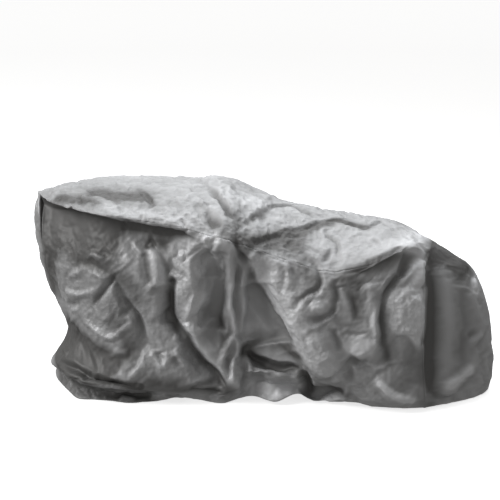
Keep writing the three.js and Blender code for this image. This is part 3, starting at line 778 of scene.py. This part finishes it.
def fold_lift(form, outwards, wander, kind, fold):
    """Rise of one fold: full on its path, less at its ends, falling over its reach to each side."""
    seen_from, _, (rise, *reaches), path = fold
    laid = lay_on_form(form, seen_from, smooth_path(path))
    close = close_to(form, laid, max(reaches) * MM)
    here = form[close] + kind["bend"] * wander[close]
    gap, along = path_gap(here, laid)
    start = np.clip((along * (len(laid) - 1)).astype(int), 0, len(laid) - 2)
    leftward = np.cross(outwards[close], laid[start + 1] - laid[start])
    left = (leftward * (here - laid[start])).sum(1) > 0
    gap = np.sqrt(gap**2 + kind["blunt"] ** 2) - kind["blunt"]
    reach = np.where(left, reaches[0], reaches[-1]) * MM
    flank = np.clip(1 - gap / reach, 0, 1) ** kind["flank"]
    lift = np.zeros(len(form))
    lift[close] = rise * MM * full_then_less(along, kind["ends"], kind["hold"]) * flank
    return lift


wander = wandering(points)
lift = sum(fold_lift(points, normals, wander, BROAD, fold) for fold in BROAD_FOLDS)
lift += sum(fold_lift(points, normals, wander, NARROW, crease) for crease in CREASES)
print("folds pressed from", lift.min().round(3), "to", lift.max().round(3), "m")

# %% [markdown]
# Under the shoulder of the tall end the cloth tucks in: the edge stands out over a band that
# little light reaches. A shallower tuck lies under the corner of the low end. Both follow the
# seam, so they are measured down the panel from it, and their depth changes along the length.

# %% Tuck under the shoulder
TUCK_DEPTH = [(-1150, 20), (-1100, 42), (-1020, 50), (-900, 45), (-700, 37), (-500, 30),
              (-350, 28), (-250, 0), (450, 0), (550, 19), (720, 24), (800, 0)]
TUCK_PROFILE = [(0, 0), (8, 0.2), (42, 1), (60, 0.95), (130, 0.55), (250, 0.15), (320, 0)]
LIFT_LIMITS = -0.07, 0.06


def run_length(grid, axis):
    """Length along a grid of corners from its first row, in metres."""
    steps = np.linalg.norm(np.diff(points[grid], axis=axis), axis=2)
    return np.insert(steps.cumsum(axis), 0, 0, axis=axis)


depth = np.interp(points[ids["near"][:, 0], 0] / MM, *zip(*TUCK_DEPTH))
profile = np.interp(run_length(ids["near"], 1) / MM, *zip(*TUCK_PROFILE))
lift[ids["near"]] -= depth[:, None] * profile * MM
lift = np.clip(lift, *LIFT_LIMITS)
pressed = points + normals * lift[:, None]
pressed[:, 2] = np.maximum(pressed[:, 2], 0.0)
print("tuck up to", max(depth).round(), "mm deep")

# %% [markdown]
# Some of the cloth is crushed and some is drawn smooth, and the coating isn't one tone: besides
# its even tone, its colour carries painted light and shade, paler on faces and patches that
# catch the light and darker in hollows, folds and bands that lie in shade. Bands along a path
# say where. A crush above 0 adds spare length, crumple and crinkle, and one below 0 takes them
# away; a tone above 0 paints the coating paler as painted light, and one below 0 darker as
# painted shade. The numbers of a band are its reach, its crush and its tone.

# %% Crushed and smooth zones
ZONES = read_table("""
seen from near
under the shoulder: 54 -0.3 -1.1 | -1095 885, -975 875, -850 880, -745 890
upper left: 80 -0.3 -0.6 | -1040 820, -885 825, -735 825
beside the rope: 24 0 -0.05 | -170 535, -170 300
above the black fold: 26 -0.3 -0.3 | -30 280, 105 290, 220 280
dark by the crease: 40 0 -0.3 | -610 630, -585 530
lens: 28 0 -0.4 | -155 420, -145 295
below the saddle: 36 0.2 -0.75 | 40 825, 200 795
beside the upright ridge: 34 -0.1 -0.4 | 495 635, 505 490
top of the end: 45 -0.3 -0.55 | 845 750, 925 695, 990 645
corner tip: 34 0 1 | 720 805, 765 810, 800 770
left of the peak: 36 0.4 0.75 | -375 805, -270 830, -180 865
under the edge: 24 -0.2 -0.6 | -745 890, -500 860, -300 850
foot beside the fold: 40 -0.3 -0.4 | -1045 165, -940 205, -835 170
low cloth: 34 -0.2 -0.6 | -815 180, -690 185
left of the trough: 40 0.1 0.45 | -755 365, -675 295
beside the column: 22 0 0.4 | -450 685, -450 625
right of the lens: 34 0 0.25 | -30 380, 35 350
past the edge: 28 -0.1 -0.5 | -515 810, -355 805
under the tuck: 60 -0.1 -0.02 | -1040 820, -755 805, -500 785, -305 780
left belly: 110 0.2 -0.22 | -975 590, -820 515, -690 430
upper belly: 75 0.15 -0.3 | -1035 765, -865 740, -690 745
left edge: 45 -0.3 -0.5 | -1120 910, -1085 830, -1065 700, -1065 470
broad dark: 45 -0.1 -0.25 | -900 695, -730 670, -660 620
light of the belly: 50 0.1 0.1 | -955 545, -810 545, -730 570
blob: 45 0.1 0.2 | -640 750, -605 690
pale facet: 26 0.1 0.5 | -485 760, -465 650
dark beside the facet: 22 0 -0.25 | -535 780, -515 670, -495 600
crushed knot: 50 0.4 0.25 | -385 725, -305 685, -225 730, -220 830
column: 50 0.35 0.35 | -340 595, -265 535, -320 420
dark facet: 30 -0.2 -0.25 | -400 615, -400 485, -380 385
slanting trough: 32 -0.2 -0.05 | -435 500, -300 300, -155 120
ruffle: 45 0.2 -0.08 | -600 160, -505 225, -395 240, -310 200
bow: 26 0.1 -0.08 | -865 405, -715 335, -580 425
smooth foot: 75 -0.4 -0.45 | -755 230, -625 260
dark foot: 72 -0.6 -1 | -1010 165, -935 285, -850 240, -790 175
roll: 45 -0.1 -0.45 | -1015 25, -805 30, -540 25
line over the roll: 24 0 -0.8 | -1015 125, -740 130, -560 100
low middle: 45 -0.3 -0.45 | -505 115, -145 80
valley: 60 -0.6 0 | -145 805, -185 535, -205 300
rope: 14 -0.2 0.2 | -110 805, -115 505, -95 345
broad valley: 80 -0.75 0.02 | 35 530, 105 315
broad valley top: 45 -0.6 -0.15 | -55 735, -10 605
foot of the valley: 36 -0.4 -0.32 | 15 340, 135 315, 230 260
black fold: 26 -0.2 -0.45 | -60 270, 65 195, 220 185, 250 80, 450 60
hem flap: 45 -0.2 0.5 | -5 60, 150 60
border: 36 0.25 1 | 30 725, 60 615, 130 525, 190 440, 230 405, 265 315, 350 225
streaks: 40 0.4 0.4 | 105 715, 150 610, 195 515
low lobe: 45 0.2 0.2 | 290 370, 355 305, 405 225
bubble: 30 0.1 0.35 | 280 525, 350 540
dark of the lobe: 26 0 -0.25 | 230 725, 305 650, 245 580
under the corner: 42 -0.5 -0.45 | 440 675, 565 735, 710 775
grey cloth: 60 -0.4 -0.15 | 425 615, 450 445
pale patch: 44 -0.3 0.8 | 480 340, 540 340
upright ridge: 15 -0.2 0.5 | 565 545, 570 345
corner trough: 20 -0.4 -0.2 | 765 745, 695 665, 640 595, 615 500, 625 370, 655 250
corner triangle: 32 -0.1 0.75 | 785 710, 775 625
corner patch: 44 0.65 1 | 685 550, 770 550, 780 415, 700 445
spike: 18 0.1 0.4 | 760 400, 800 325
below the patch: 60 -0.5 -0.25 | 690 280, 845 195, 695 150
low ridge: 17 -0.2 0.65 | 615 155, 690 100, 775 65
dark end: 46 -0.6 -0.3 | 835 755, 860 30
end: 110 -0.5 -0.14 | 960 640, 995 295
end patch: 26 0.2 0.5 | 950 110, 1010 130, 1055 165
end edge: 14 0.1 0.5 | 1055 585, 1060 525
seen from top
left half: 170 0.3 -0.1 | -1005 -130, -745 -135, -445 -260
along the shoulder: 45 0.2 0.15 | -925 -205, -605 -345, -330 -365
behind the peak: 70 0 0.2 | -110 -80, -20 -60
front of the low end: 45 0.2 0.35 | 350 -275, 515 -270, 700 -200
crinkles at the tall end: 32 0.3 -0.5 | -1010 -150, -895 -215, -785 -280
end of the strip: 60 -0.4 -0.7 | 870 -45, 960 -50
corner: 38 0 0.9 | 750 -215, 805 -160
dip: 75 0.2 -0.5 | -810 -150, -695 -195, -600 -185
crease to the shoulder: 24 0 -0.15 | -620 -75, -565 -160, -500 -275
grey saddle: 32 0 -0.6 | -60 -375, 55 -260, 125 -195, 215 -155, 280 -80, 360 -15, 515 -45
grey patch: 50 0.1 -0.35 | 145 -215, 230 -210
peak: 60 0.2 -0.3 | -180 -355, -105 -380, -125 -265
edge left of the peak: 30 0.1 -0.35 | -285 -420, -135 -410
arch: 18 0 -0.2 | -35 -235, 10 -125, 60 10, 135 70, 225 15
rays: 16 0 -0.12 | -260 -45, -170 -190, -120 -290
second ray: 16 0 -0.12 | -270 -210, -220 -315, -175 -375
front of the lobe: 60 0.4 -0.3 | -25 -390, 85 -330, 215 -270
""")
EVEN = {"near": (0.5, 0.28), "far": (0.4, 0.12), "top": (0.8, 0.25)}  # crush and tone
TOP_FROM = {"z": (0.74, 0.12), "y": (-0.42, 0.06), "x": (-0.35, 0.15)}  # start and width
BELL_POWER = 2.5
FAR_FADE = 0.25
CRUSH_LIMITS = 0.05, 1.2


def eased(values, start, width):
    """0 below the start, 1 past the width, and straight between."""
    return np.clip((values - start) / width, 0, 1)


def zone_bell(points, seen_from, path, reach):
    """1 on a band's path, falling steeply at its reach, by the distance as seen from one way."""
    hidden = 2 if seen_from == "top" else 1
    flat = points.copy()
    flat[:, hidden] = 0
    laid = np.insert(path * MM, hidden, 0, axis=1)
    return np.exp(-(path_gap(flat, laid)[0] / (reach * MM)) ** BELL_POWER)[:, None]


def top_share(points):
    """1 where the cloth belongs to the top, 0 down the sides and under the edge of the tall end."""
    share = eased(points[:, 2], *TOP_FROM["z"]) * eased(points[:, 1], *TOP_FROM["y"])
    under_edge = ids["near"][:, 1:]
    share[under_edge] *= eased(points[under_edge, 0], *TOP_FROM["x"])
    return share[:, None]


def zone_measures(points):
    """Crush, and tone with painted light and shade: the even values of near, far and top plus the
    bands' changes, blended.
    """
    total = {seen_from: np.tile(even, (len(points), 1)) for seen_from, even in EVEN.items()}
    for seen_from, _, (reach, *change), path in ZONES:
        total[seen_from] += zone_bell(points, seen_from, path, reach) * change
    far = smoothstep(eased(points[:, 1], 0, FAR_FADE))[:, None]
    side = total["near"] + (total["far"] - total["near"]) * far
    top = top_share(points)
    return (side * (1 - top) + total["top"] * top).T


# the bands' tone is painted light and shade: paler where it paints light, darker where it paints shade
crushed, tone_and_painted_shading = zone_measures(points)
crushed = np.clip(crushed, *CRUSH_LIMITS)
print("crushed from", crushed.min().round(2), "to", crushed.max().round(2))

# %% [markdown]
# Now the cloth settles. A light mesh of every second row gets Blender's cloth: it starts from
# the pressed folds, a little spare length makes the crushed zones buckle, and a weak hold
# keeps each corner near its place, while the seams and the hem hold more firmly. There is no
# gravity, because the folds already hang. How far each corner moved is then read back at the
# full step by a cubic, so that the fine grids follow.

# %% Settling
SETTLE_FRAMES = 20
SETTLE_CAP = 0.05
BUCKLES = [(0.09, 61, 0.004), (0.05, 71, 0.003)]  # size, seed, rise
HOLD, HOLD_SEAM, HOLD_HEM = 0.04, 0.4, 1.0
WEIGHT_STEPS = 25
CLOTH = {
    "vertex_group_mass": "hold", "pin_stiffness": 0.1,
    "vertex_group_shrink": "spare", "shrink_min": -0.02, "shrink_max": -0.12,
    "quality": 4, "mass": 0.05, "air_damping": 1.0,
    "tension_stiffness": 20, "compression_stiffness": 20,
    "shear_stiffness": 10, "bending_stiffness": 0.05,
    "tension_damping": 5, "compression_damping": 5, "shear_damping": 5, "bending_damping": 0.5,
}


def smooth_mesh(name, corners, faces):
    """A mesh from arrays of corners and of the corner numbers of its faces, shaded smooth."""
    mesh = bpy.data.meshes.new(name)
    mesh.from_pydata(corners.reshape(-1, 3).tolist(), [], faces.tolist())
    mesh.polygons.foreach_set("use_smooth", np.ones(len(faces), bool))
    mesh.update()
    return mesh


def light_mesh(start):
    """Every second row and column: their grids, the corners they use, and a new object."""
    coarse = {name: grid[::2, ::2] for name, grid in ids.items()}
    used = np.unique(np.concatenate([grid.ravel() for grid in coarse.values()]))
    number = np.full(len(start), -1)
    number[used] = np.arange(len(used))
    turned = {name: grid[:, ::-1] if name == "near" else grid for name, grid in coarse.items()}
    face = np.concatenate([number[quads(grid)] for grid in turned.values()])
    cloth = add_object("settling_cloth", smooth_mesh("settling_cloth", start[used], face))
    return {name: number[grid] for name, grid in coarse.items()}, used, cloth


def weight_group(cloth, name, weights):
    """A vertex group from an array of weights, rounded to a few steps."""
    group = cloth.vertex_groups.new(name=name)
    steps = np.round(np.clip(weights, 0, 1) * WEIGHT_STEPS) / WEIGHT_STEPS
    for level in np.unique(steps):
        group.add(np.flatnonzero(steps == level).tolist(), float(level), "REPLACE")


def between(rows):
    """Twice as many rows: each new one is the cubic halfway between its four neighbours."""
    wide = np.concatenate([2 * rows[:1] - rows[1:2], rows, 2 * rows[-1:] - rows[-2:-1]])
    middle = (9 * (wide[1:-2] + wide[2:-1]) - (wide[:-3] + wide[3:])) / 16
    finer = np.empty((2 * len(rows) - 1,) + rows.shape[1:])
    finer[::2] = rows
    finer[1::2] = middle
    return finer


def run_cloth(cloth):
    """Blender's cloth over the frames, without gravity or collision: where every corner ends."""
    modifier = cloth.modifiers.new("settle", "CLOTH")
    for name, value in CLOTH.items():
        setattr(modifier.settings, name, value)
    modifier.settings.effector_weights.gravity = 0.0
    modifier.collision_settings.use_collision = False
    modifier.collision_settings.use_self_collision = False
    modifier.point_cache.frame_end = SETTLE_FRAMES
    for number in range(1, SETTLE_FRAMES + 1):
        bpy.context.scene.frame_set(number)
    settled = cloth.evaluated_get(bpy.context.evaluated_depsgraph_get()).data
    after = np.empty(len(settled.vertices) * 3)
    settled.vertices.foreach_get("co", after)
    bpy.data.objects.remove(cloth)
    bpy.context.scene.frame_set(1)
    return after.reshape(-1, 3)


def settle(pressed):
    """How far every corner moves when the spare length of the crushed zones buckles the cloth."""
    start = pressed + outward(pressed) * (crumpled(pressed, BUCKLES) * crushed)[:, None]
    coarse, used, cloth = light_mesh(start)
    hold = np.full(len(used), HOLD)
    hold[coarse["strip"][:, [0, -1]]] = HOLD_SEAM
    for hem in (coarse["near"][:, -1], coarse["far"][:, -1], coarse["strip"][[0, -1]]):
        hold[hem] = HOLD_HEM
    weight_group(cloth, "hold", hold)
    weight_group(cloth, "spare", crushed[used])
    moved = run_cloth(cloth) - pressed[used]
    size = np.linalg.norm(moved, axis=1, keepdims=True)
    moved *= np.minimum(1, SETTLE_CAP / np.maximum(size, 1e-9))
    full = np.zeros_like(pressed)
    for name, grid in ids.items():
        full[grid] = between(between(moved[coarse[name]]).transpose(1, 0, 2)).transpose(1, 0, 2)
    return full


moved = settle(pressed)
lift += (moved * normals).sum(1)
settled = pressed + moved
print("settled by", np.linalg.norm(moved, axis=1).mean().round(4), "m on average")

# %% [markdown]
# The finest folds are facets of crushed film, at three sizes from a hand's breadth down to a
# finger's. The seams get a slight ridge, where two edges are turned in and sewn down.

# %% Crumple
FACETS = [(0.11, 11, 0.006), (0.055, 21, 0.006), (0.030, 31, 0.004)]  # size, seed, rise
SEAM_RIDGE = 0.0025

crumple = crushed * crumpled(settled, FACETS)
crumple[ids["strip"][:, [0, -1]]] += SEAM_RIDGE
lift += crumple
points = settled + outward(settled) * crumple[:, None]
points[:, 2] = np.maximum(points[:, 2], 0.0)
print("crumple up to", np.abs(crumple).max().round(4), "m")

# %% [markdown]
# Each panel becomes a mesh of its own grid, cut at the seams as the real ones are. Two things
# go with it for the finish. One is the cloth's own coordinates in metres: along the seam and
# away from it. The other is what only the shape knows: how far a corner stands above its
# surroundings, which the colour turns into painted highlights on crests and painted shade in
# troughs, how crushed the cloth is there, its tone with painted light and shade, and how far
# it is from the hem.


# %% Pieces
PIECES = [
    # name, solid, grid, faces turned, strip, width and length as cut, area as cut
    ("near_panel_cloth", "side_panel_near", "near", True, False, (1.1, 2.1), 2.17),
    ("far_panel_cloth", "side_panel_far", "far", False, False, (1.1, 2.1), 1.87),
    ("centre_strip_cloth", "centre_strip", "strip", False, True, (0.86, 4.3), 2.56),
]
THICKNESS = 0.0012
SURROUNDINGS = 4
RELIEF = 0.03


def blurred(values, reach):
    """A grid of values smoothed by a bell curve of this many cells, along both its ways."""
    shares = np.exp(-0.5 * (np.arange(-3 * reach, 3 * reach + 1) / reach) ** 2)
    shares /= shares.sum()
    for axis in (0, 1):
        pad = [(3 * reach, 3 * reach) if a == axis else (0, 0) for a in (0, 1)]
        wide = np.pad(values, pad, mode="edge")
        size = values.shape[axis]
        values = sum(s * np.take(wide, range(k, k + size), axis) for k, s in enumerate(shares))
    return values


def cloth_measures(grid, is_strip):
    """Length along the seam, distance from it and distance from the hem, at each corner."""
    along, across = run_length(grid, 0), run_length(grid, 1)
    other_way = across[:, -1:] - across
    if is_strip:
        return along, np.minimum(across, other_way), np.minimum(along, along[-1:] - along)
    return along, across, other_way


def make_piece(name, grid, flip, is_strip):
    """A mesh of one grid with its cloth coordinates and the measures that the finish reads."""
    face = quads(np.arange(grid.size).reshape(grid.shape))
    if flip:
        face = face[:, ::-1]
    mesh = smooth_mesh(name, points[grid], face)
    along, away, from_hem = cloth_measures(grid, is_strip)
    flat = mesh.uv_layers.new(name="cloth")
    both = np.stack([along.ravel(), away.ravel()], -1)[face.ravel()]
    flat.data.foreach_set("uv", both.ravel().astype(np.float32))
    # how far a corner stands above its surroundings; the colour paints crests lighter as a highlight
    # and troughs darker as shade
    above = (lift[grid] - blurred(lift[grid], SURROUNDINGS)) / RELIEF + 0.5
    measures = dict(above=above, crushed=crushed[grid], tone_and_painted_shading=tone_and_painted_shading[grid], from_hem=from_hem)
    for measure, values in measures.items():
        attribute = mesh.attributes.new(measure, "FLOAT", "POINT")
        attribute.data.foreach_set("value", values.ravel().astype(np.float32))
    mesh.update()
    print(name, len(face), "faces, along", along.max().round(2), "away", away.max().round(2), "m")
    return add_object(name, mesh)


cloth_pieces = []
for name, solid, grid_name, turned, is_strip, *_ in PIECES:
    piece = make_piece(name, ids[grid_name], turned, is_strip)
    thick = piece.modifiers.new("thickness", "SOLIDIFY")
    thick.thickness = THICKNESS
    thick.offset = -1
    cloth_pieces.append(piece)
    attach(piece, "root")
    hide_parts(solid)

# %% [markdown]
# Shader sums read better as Python than as a net of nodes. A small class wraps a socket, and
# each plus, minus or times between wraps and numbers adds one Math node.


# %% Material helpers
class Wire:
    """A socket that can be added, subtracted and multiplied; each operation adds a Math node."""

    def __init__(self, tree, socket):
        self.tree, self.socket = tree, socket

    def math(self, operation, *values, clamp=False):
        settings = {"operation": operation, "use_clamp": clamp}
        return node(self.tree, "ShaderNodeMath", settings, dict(enumerate(values)))

    def __add__(self, other): return self.math("ADD", self, other)
    def __radd__(self, other): return self.math("ADD", other, self)
    def __sub__(self, other): return self.math("SUBTRACT", self, other)
    def __rsub__(self, other): return self.math("SUBTRACT", other, self)
    def __mul__(self, other): return self.math("MULTIPLY", self, other)
    def __rmul__(self, other): return self.math("MULTIPLY", other, self)

    def below(self, limit, soft):
        """1 while the value is well under the limit, falling to 0 over the soft width before it."""
        return self.math("MULTIPLY", limit - self, 1 / soft, clamp=True)


def node(tree, kind, settings, inputs, output=0):
    """Adds a node, first its settings and then its inputs, and gives its output as a Wire."""
    made = tree.nodes.new(kind)
    for name, value in settings.items():
        setattr(made, name, value)
    for name, value in inputs.items():
        socket = made.inputs[name]
        if isinstance(value, Wire):
            tree.links.new(value.socket, socket)
        else:
            socket.default_value = value
    return Wire(tree, made.outputs[output]) if made.outputs else None


print("helpers ready")

# %% [markdown]
# The cover is a thin woven cloth with a silver coating on the outside: mostly paint with a
# little metal in it, and a broad soft sheen. Its colour has a little random blotchy tone and
# carries painted light and shade: crests are painted lighter as highlights, troughs darker as
# shade, and the zones' bands paint lit patches paler and shaded ones darker. The crinkle is
# worked into the bump at two sizes, a fine grain is there for close views, and the seams and
# the hem have their lock stitches, two rows at a seam and one above the hem.

# %% Cloth finish
# the pale and dark ends of the colour: towards the pale end is painted light, towards the dark end
# painted shade
CREST_COLOUR = (0.85, 0.855, 0.87, 1)
TROUGH_COLOUR = (0.155, 0.153, 0.15, 1)
METALLIC, ROUGHNESS = 0.22, 0.52
BUMP_DEPTH, BUMP_STRENGTH = 0.01, 0.65
NOISE = {"blotch": (4.0, 5.0), "crinkle": (30.0, 5.0), "grain": (700.0, 2.0)}  # scale, detail
CREASES_SCALE = 45.0
# the relief share paints crests lighter and troughs darker as painted highlight and shade; the blotch
# share is random tone
TONE_OF = {"relief": 0.5, "blotch": 0.25}
HEIGHT_OF = {"creases": 0.6, "stitches": 0.05, "turned in": 0.06, "grain": 0.02}
ROUGHNESS_OF_GRAIN = 0.06
STITCH_PITCH = 0.0065
STITCH_ROWS = (0.005, 0.012)
HEM_ROW = 0.024
# each is a limit and the soft width before it
THREAD, DASH = (0.0012, 0.0008), (0.72, 0.08)
SEAM_TURNED_IN, HEM_TURNED_IN = (0.016, 0.002), (0.028, 0.003)


def stitch_row(along, distance, place):
    """1 on the stitches of one row: dashes along the seam, at this distance from it."""
    tree = along.tree
    off = (distance - place).math("ABSOLUTE", distance - place)
    phase = along.math("FRACT", along * (1 / STITCH_PITCH))
    return off.below(*THREAD) * phase.below(*DASH)


def coated_cloth():
    """Silver-coated cloth: one Principled shader, varied in colour with painted light and shade,
    roughness and bump.
    """
    material = bpy.data.materials.new("coated_cloth_look")
    material.use_nodes = True
    tree = material.node_tree
    tree.nodes.clear()
    place = node(tree, "ShaderNodeTexCoord", {}, {}, "Object")
    flat = node(tree, "ShaderNodeUVMap", {"uv_map": "cloth"}, {})
    along = node(tree, "ShaderNodeSeparateXYZ", {}, {0: flat}, 0)
    away = node(tree, "ShaderNodeSeparateXYZ", {}, {0: flat}, 1)
    above, crush_here, tone_and_painted_shading_here, from_hem = (
        node(tree, "ShaderNodeAttribute", {"attribute_name": name}, {}, "Fac")
        for name in ("above", "crushed", "tone_and_painted_shading", "from_hem"))
    blotch, crinkle, grain = (
        node(tree, "ShaderNodeTexNoise", {}, {"Vector": place, "Scale": scale, "Detail": detail}, "Fac")
        for scale, detail in NOISE.values())
    creases = node(
        tree, "ShaderNodeTexVoronoi", {"feature": "F1"}, {"Vector": place, "Scale": CREASES_SCALE},
        "Distance")
    stitches = stitch_row(along, away, STITCH_ROWS[0]) + stitch_row(along, away, STITCH_ROWS[1])
    stitches = stitches + stitch_row(along, from_hem, HEM_ROW)
    turned_in = away.below(*SEAM_TURNED_IN) + from_hem.below(*HEM_TURNED_IN)
    # painted highlight and shade from the relief, painted light and shade from the zones' tone, and a
    # random blotchy tone
    painted_shading_and_tone = above * TONE_OF["relief"] + tone_and_painted_shading_here + (blotch - 0.5) * TONE_OF["blotch"]
    colour = node(tree, "ShaderNodeMix", {"data_type": "RGBA"},
                  {"Factor": painted_shading_and_tone, 6: TROUGH_COLOUR, 7: CREST_COLOUR}, 2)
    film = (creases * HEIGHT_OF["creases"] + crinkle) * crush_here
    height = film + stitches * HEIGHT_OF["stitches"] + turned_in * HEIGHT_OF["turned in"]
    height = height + grain * HEIGHT_OF["grain"]
    bump = node(tree, "ShaderNodeBump", {},
                {"Height": height, "Distance": BUMP_DEPTH, "Strength": BUMP_STRENGTH}, "Normal")
    shader = node(tree, "ShaderNodeBsdfPrincipled", {}, {
        "Base Color": colour, "Metallic": METALLIC,
        "Roughness": ROUGHNESS + grain * ROUGHNESS_OF_GRAIN, "Normal": bump,
    })
    node(tree, "ShaderNodeOutputMaterial", {}, {"Surface": shader})
    return material


cloth_look = coated_cloth()
for piece, (*_, cut, cut_area) in zip(cloth_pieces, PIECES):
    piece.data.materials.append(cloth_look)
print("nodes in the finish:", len(cloth_look.node_tree.nodes))

# %% [markdown]
# The room is one white surface: a floor that curves up into the walls. It glows a little, so
# that it shows white as paper does, but it neither lights nor shades the cloth. That is left
# to a wide, slightly cool soft box overhead, which makes the top bright and leaves the sides
# dark, to a smaller one from the upper left that picks out the left face of each fold, and to
# a dim light from all round.

# %% Room
ROOM_RADIUS = np.array([0.01, 2, 6, 11, 12.5, 13.5, 14, 14, 13, 9, 4, 0.01])
ROOM_HEIGHT = np.array([0, 0, 0, 0, 0.4, 1.4, 3, 8, 11, 13, 14, 14.2])
ROOM_SIDES = 96
ROOM_FLOOR = -0.002
ROOM_GLOW = 0.72


def stage_room():
    """A floor turned up into a wall and a ceiling: a profile carried round the upright axis."""
    turn = np.linspace(0, 2 * np.pi, ROOM_SIDES, endpoint=False)
    ring = ROOM_RADIUS[:, None, None] * np.stack([np.cos(turn), np.sin(turn)], -1)
    height = np.repeat(ROOM_HEIGHT[:, None, None], ROOM_SIDES, 1)
    number = np.arange(ROOM_RADIUS.size * ROOM_SIDES).reshape(-1, ROOM_SIDES)
    low, high = number[:-1], number[1:]
    face = np.stack([low, high, np.roll(high, -1, 1), np.roll(low, -1, 1)], -1).reshape(-1, 4)
    room = add_object("room", smooth_mesh("room", np.concatenate([ring, height], -1), face))
    room.location.z = ROOM_FLOOR
    return room


def pale_paper():
    """White paper that glows, so the room shows white whatever falls on it."""
    material = bpy.data.materials.new("pale_paper")
    material.use_nodes = True
    paper = material.node_tree.nodes["Principled BSDF"].inputs
    paper["Base Color"].default_value = (0.9, 0.9, 0.9, 1)
    paper["Roughness"].default_value = 0.9
    paper["Emission Color"].default_value = (1, 1, 1, 1)
    paper["Emission Strength"].default_value = ROOM_GLOW
    return material


room = stage_room()
room.data.materials.append(pale_paper())
room.visible_diffuse = room.visible_glossy = room.visible_shadow = False
print("room corners", len(room.data.vertices))

# %% Lights
SOFT_BOXES = [
    # name, place, size, power, colour
    ("overhead", (0.1, 1.4, 3.6), (5, 4), 122, (0.96, 0.98, 1)),
    ("upper_left", (-7, -3, 6), (4, 4), 440, (1, 1, 1)),
]
LIGHT_AIM = (0, 0, 0.5)
DIM_COLOUR = (1.0, 0.99, 0.97, 1)
DIM_STRENGTH = 0.21


def area_light(name, place, size, power, colour):
    """A rectangular soft box at a place, turned to the middle of the cover."""
    data = bpy.data.lights.new(name, "AREA")
    data.shape = "RECTANGLE"
    data.size, data.size_y = size
    data.energy = power
    data.color = colour
    light = add_object(name, data)
    light.location = place
    light.rotation_euler = (Vector(place) - Vector(LIGHT_AIM)).to_track_quat("Z", "Y").to_euler()


def dim_world():
    """A dim light from all round."""
    world = bpy.data.worlds.new("dim_room")
    bpy.context.scene.world = world
    world.use_nodes = True
    background = world.node_tree.nodes["Background"].inputs
    background["Color"].default_value = DIM_COLOUR
    background["Strength"].default_value = DIM_STRENGTH


for soft_box in SOFT_BOXES:
    area_light(*soft_box)
dim_world()
bpy.context.scene.view_settings.view_transform = "Standard"
